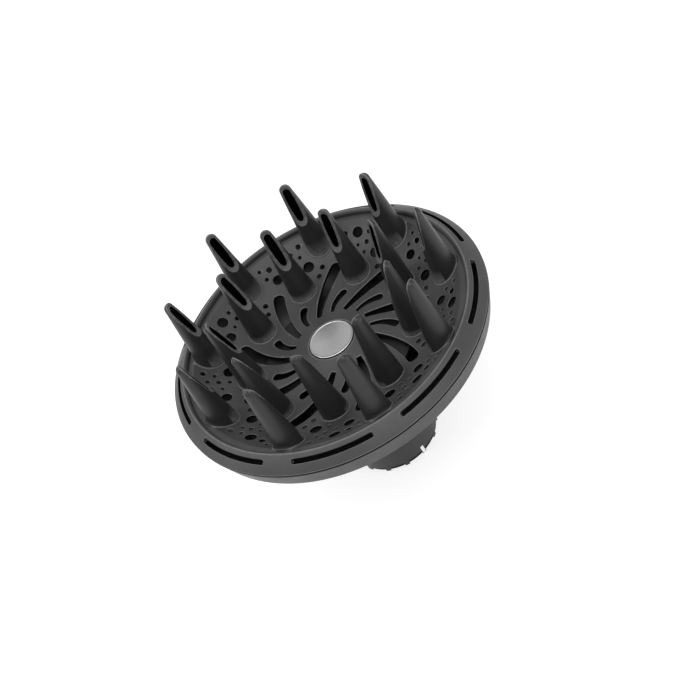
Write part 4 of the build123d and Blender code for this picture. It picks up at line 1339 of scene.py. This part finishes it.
def add_floor():
    """A plain near-white floor, lit a little from within so that the shadow on it stays faint."""
    mesh = bpy.data.meshes.new("floor")
    corners = [(-1, -1), (1, -1), (1, 1), (-1, 1)]
    places = [(FLOOR_REACH * x, FLOOR_REACH * y, FLOOR_Z) for x, y in corners]
    mesh.from_pydata(places, [], [(0, 1, 2, 3)])
    material = new_material(
        "floor_white", Base_Color=(0.4, 0.4, 0.4, 1), Roughness=0.9,
        Emission_Color=(1, 1, 1, 1), Emission_Strength=0.72,
    )
    mesh.materials.append(material)
    floor = bpy.data.objects.new("floor", mesh)
    scene.collection.objects.link(floor)


def add_softbox(name, place, width, height, power):
    """A rectangular area light that faces the dish."""
    light = bpy.data.lights.new(name, "AREA")
    light.shape = "RECTANGLE"
    light.size = width
    light.size_y = height
    light.energy = power
    lamp = bpy.data.objects.new(name, light)
    scene.collection.objects.link(lamp)
    lamp.location = place
    lamp.rotation_euler = (dish_middle - place).to_track_quat("-Z", "Y").to_euler()


CAMERA_ELEVATION = math.radians(43.0)
CAMERA_ROLL = math.radians(-33.85)
CAMERA_DISTANCE = 0.5635
CAMERA_SHIFT = (0.01145, -0.00906)
CAMERA_LENS = 62.25

back = Vector((0, -math.cos(CAMERA_ELEVATION), math.sin(CAMERA_ELEVATION)))
level_right = Vector((1, 0, 0))
level_up = Vector((0, math.sin(CAMERA_ELEVATION), math.cos(CAMERA_ELEVATION)))
camera_right = math.cos(CAMERA_ROLL) * level_right + math.sin(CAMERA_ROLL) * level_up
camera_up = -math.sin(CAMERA_ROLL) * level_right + math.cos(CAMERA_ROLL) * level_up
dish_middle = Vector((0, 0, RIM_Z * MM))


def studio_point(right, up, toward):
    """A point placed from the camera's side of the dish, in metres."""
    return dish_middle + camera_right * right + camera_up * up + back * toward


def add_camera():
    """The camera that looks down into the dish, rolled so that the dish leans to the left."""
    camera = bpy.data.objects.new("camera", bpy.data.cameras.new("camera"))
    camera.data.lens = CAMERA_LENS
    camera.data.sensor_width = 36.0
    place = studio_point(*CAMERA_SHIFT, CAMERA_DISTANCE)
    turn = Matrix((camera_right, camera_up, back)).transposed().to_4x4()
    camera.matrix_world = Matrix.Translation(place) @ turn
    scene.collection.objects.link(camera)
    scene.camera = camera


def add_lights():
    """A pale dome all round, with weak soft boxes left, right, above and over the camera."""
    add_softbox("left_box", studio_point(-0.75, 0.15, 0.35), 0.35, 0.9, 2.8)
    add_softbox("right_box", studio_point(0.75, 0.1, 0.25), 0.35, 0.9, 2.6)
    add_softbox("top_box", Vector((0, 0, 0.95)), 0.6, 0.6, 2.4)
    add_softbox("front_box", studio_point(0, 0.25, 0.9), 0.4, 0.4, 2.4)
    world = bpy.data.worlds.new("studio")
    world.use_nodes = True
    background = world.node_tree.nodes["Background"]
    background.inputs["Color"].default_value = (1, 1, 1, 1)
    background.inputs["Strength"].default_value = 0.75
    scene.world = world


add_floor()
add_lights()
add_camera()
scene.view_settings.view_transform = "Standard"
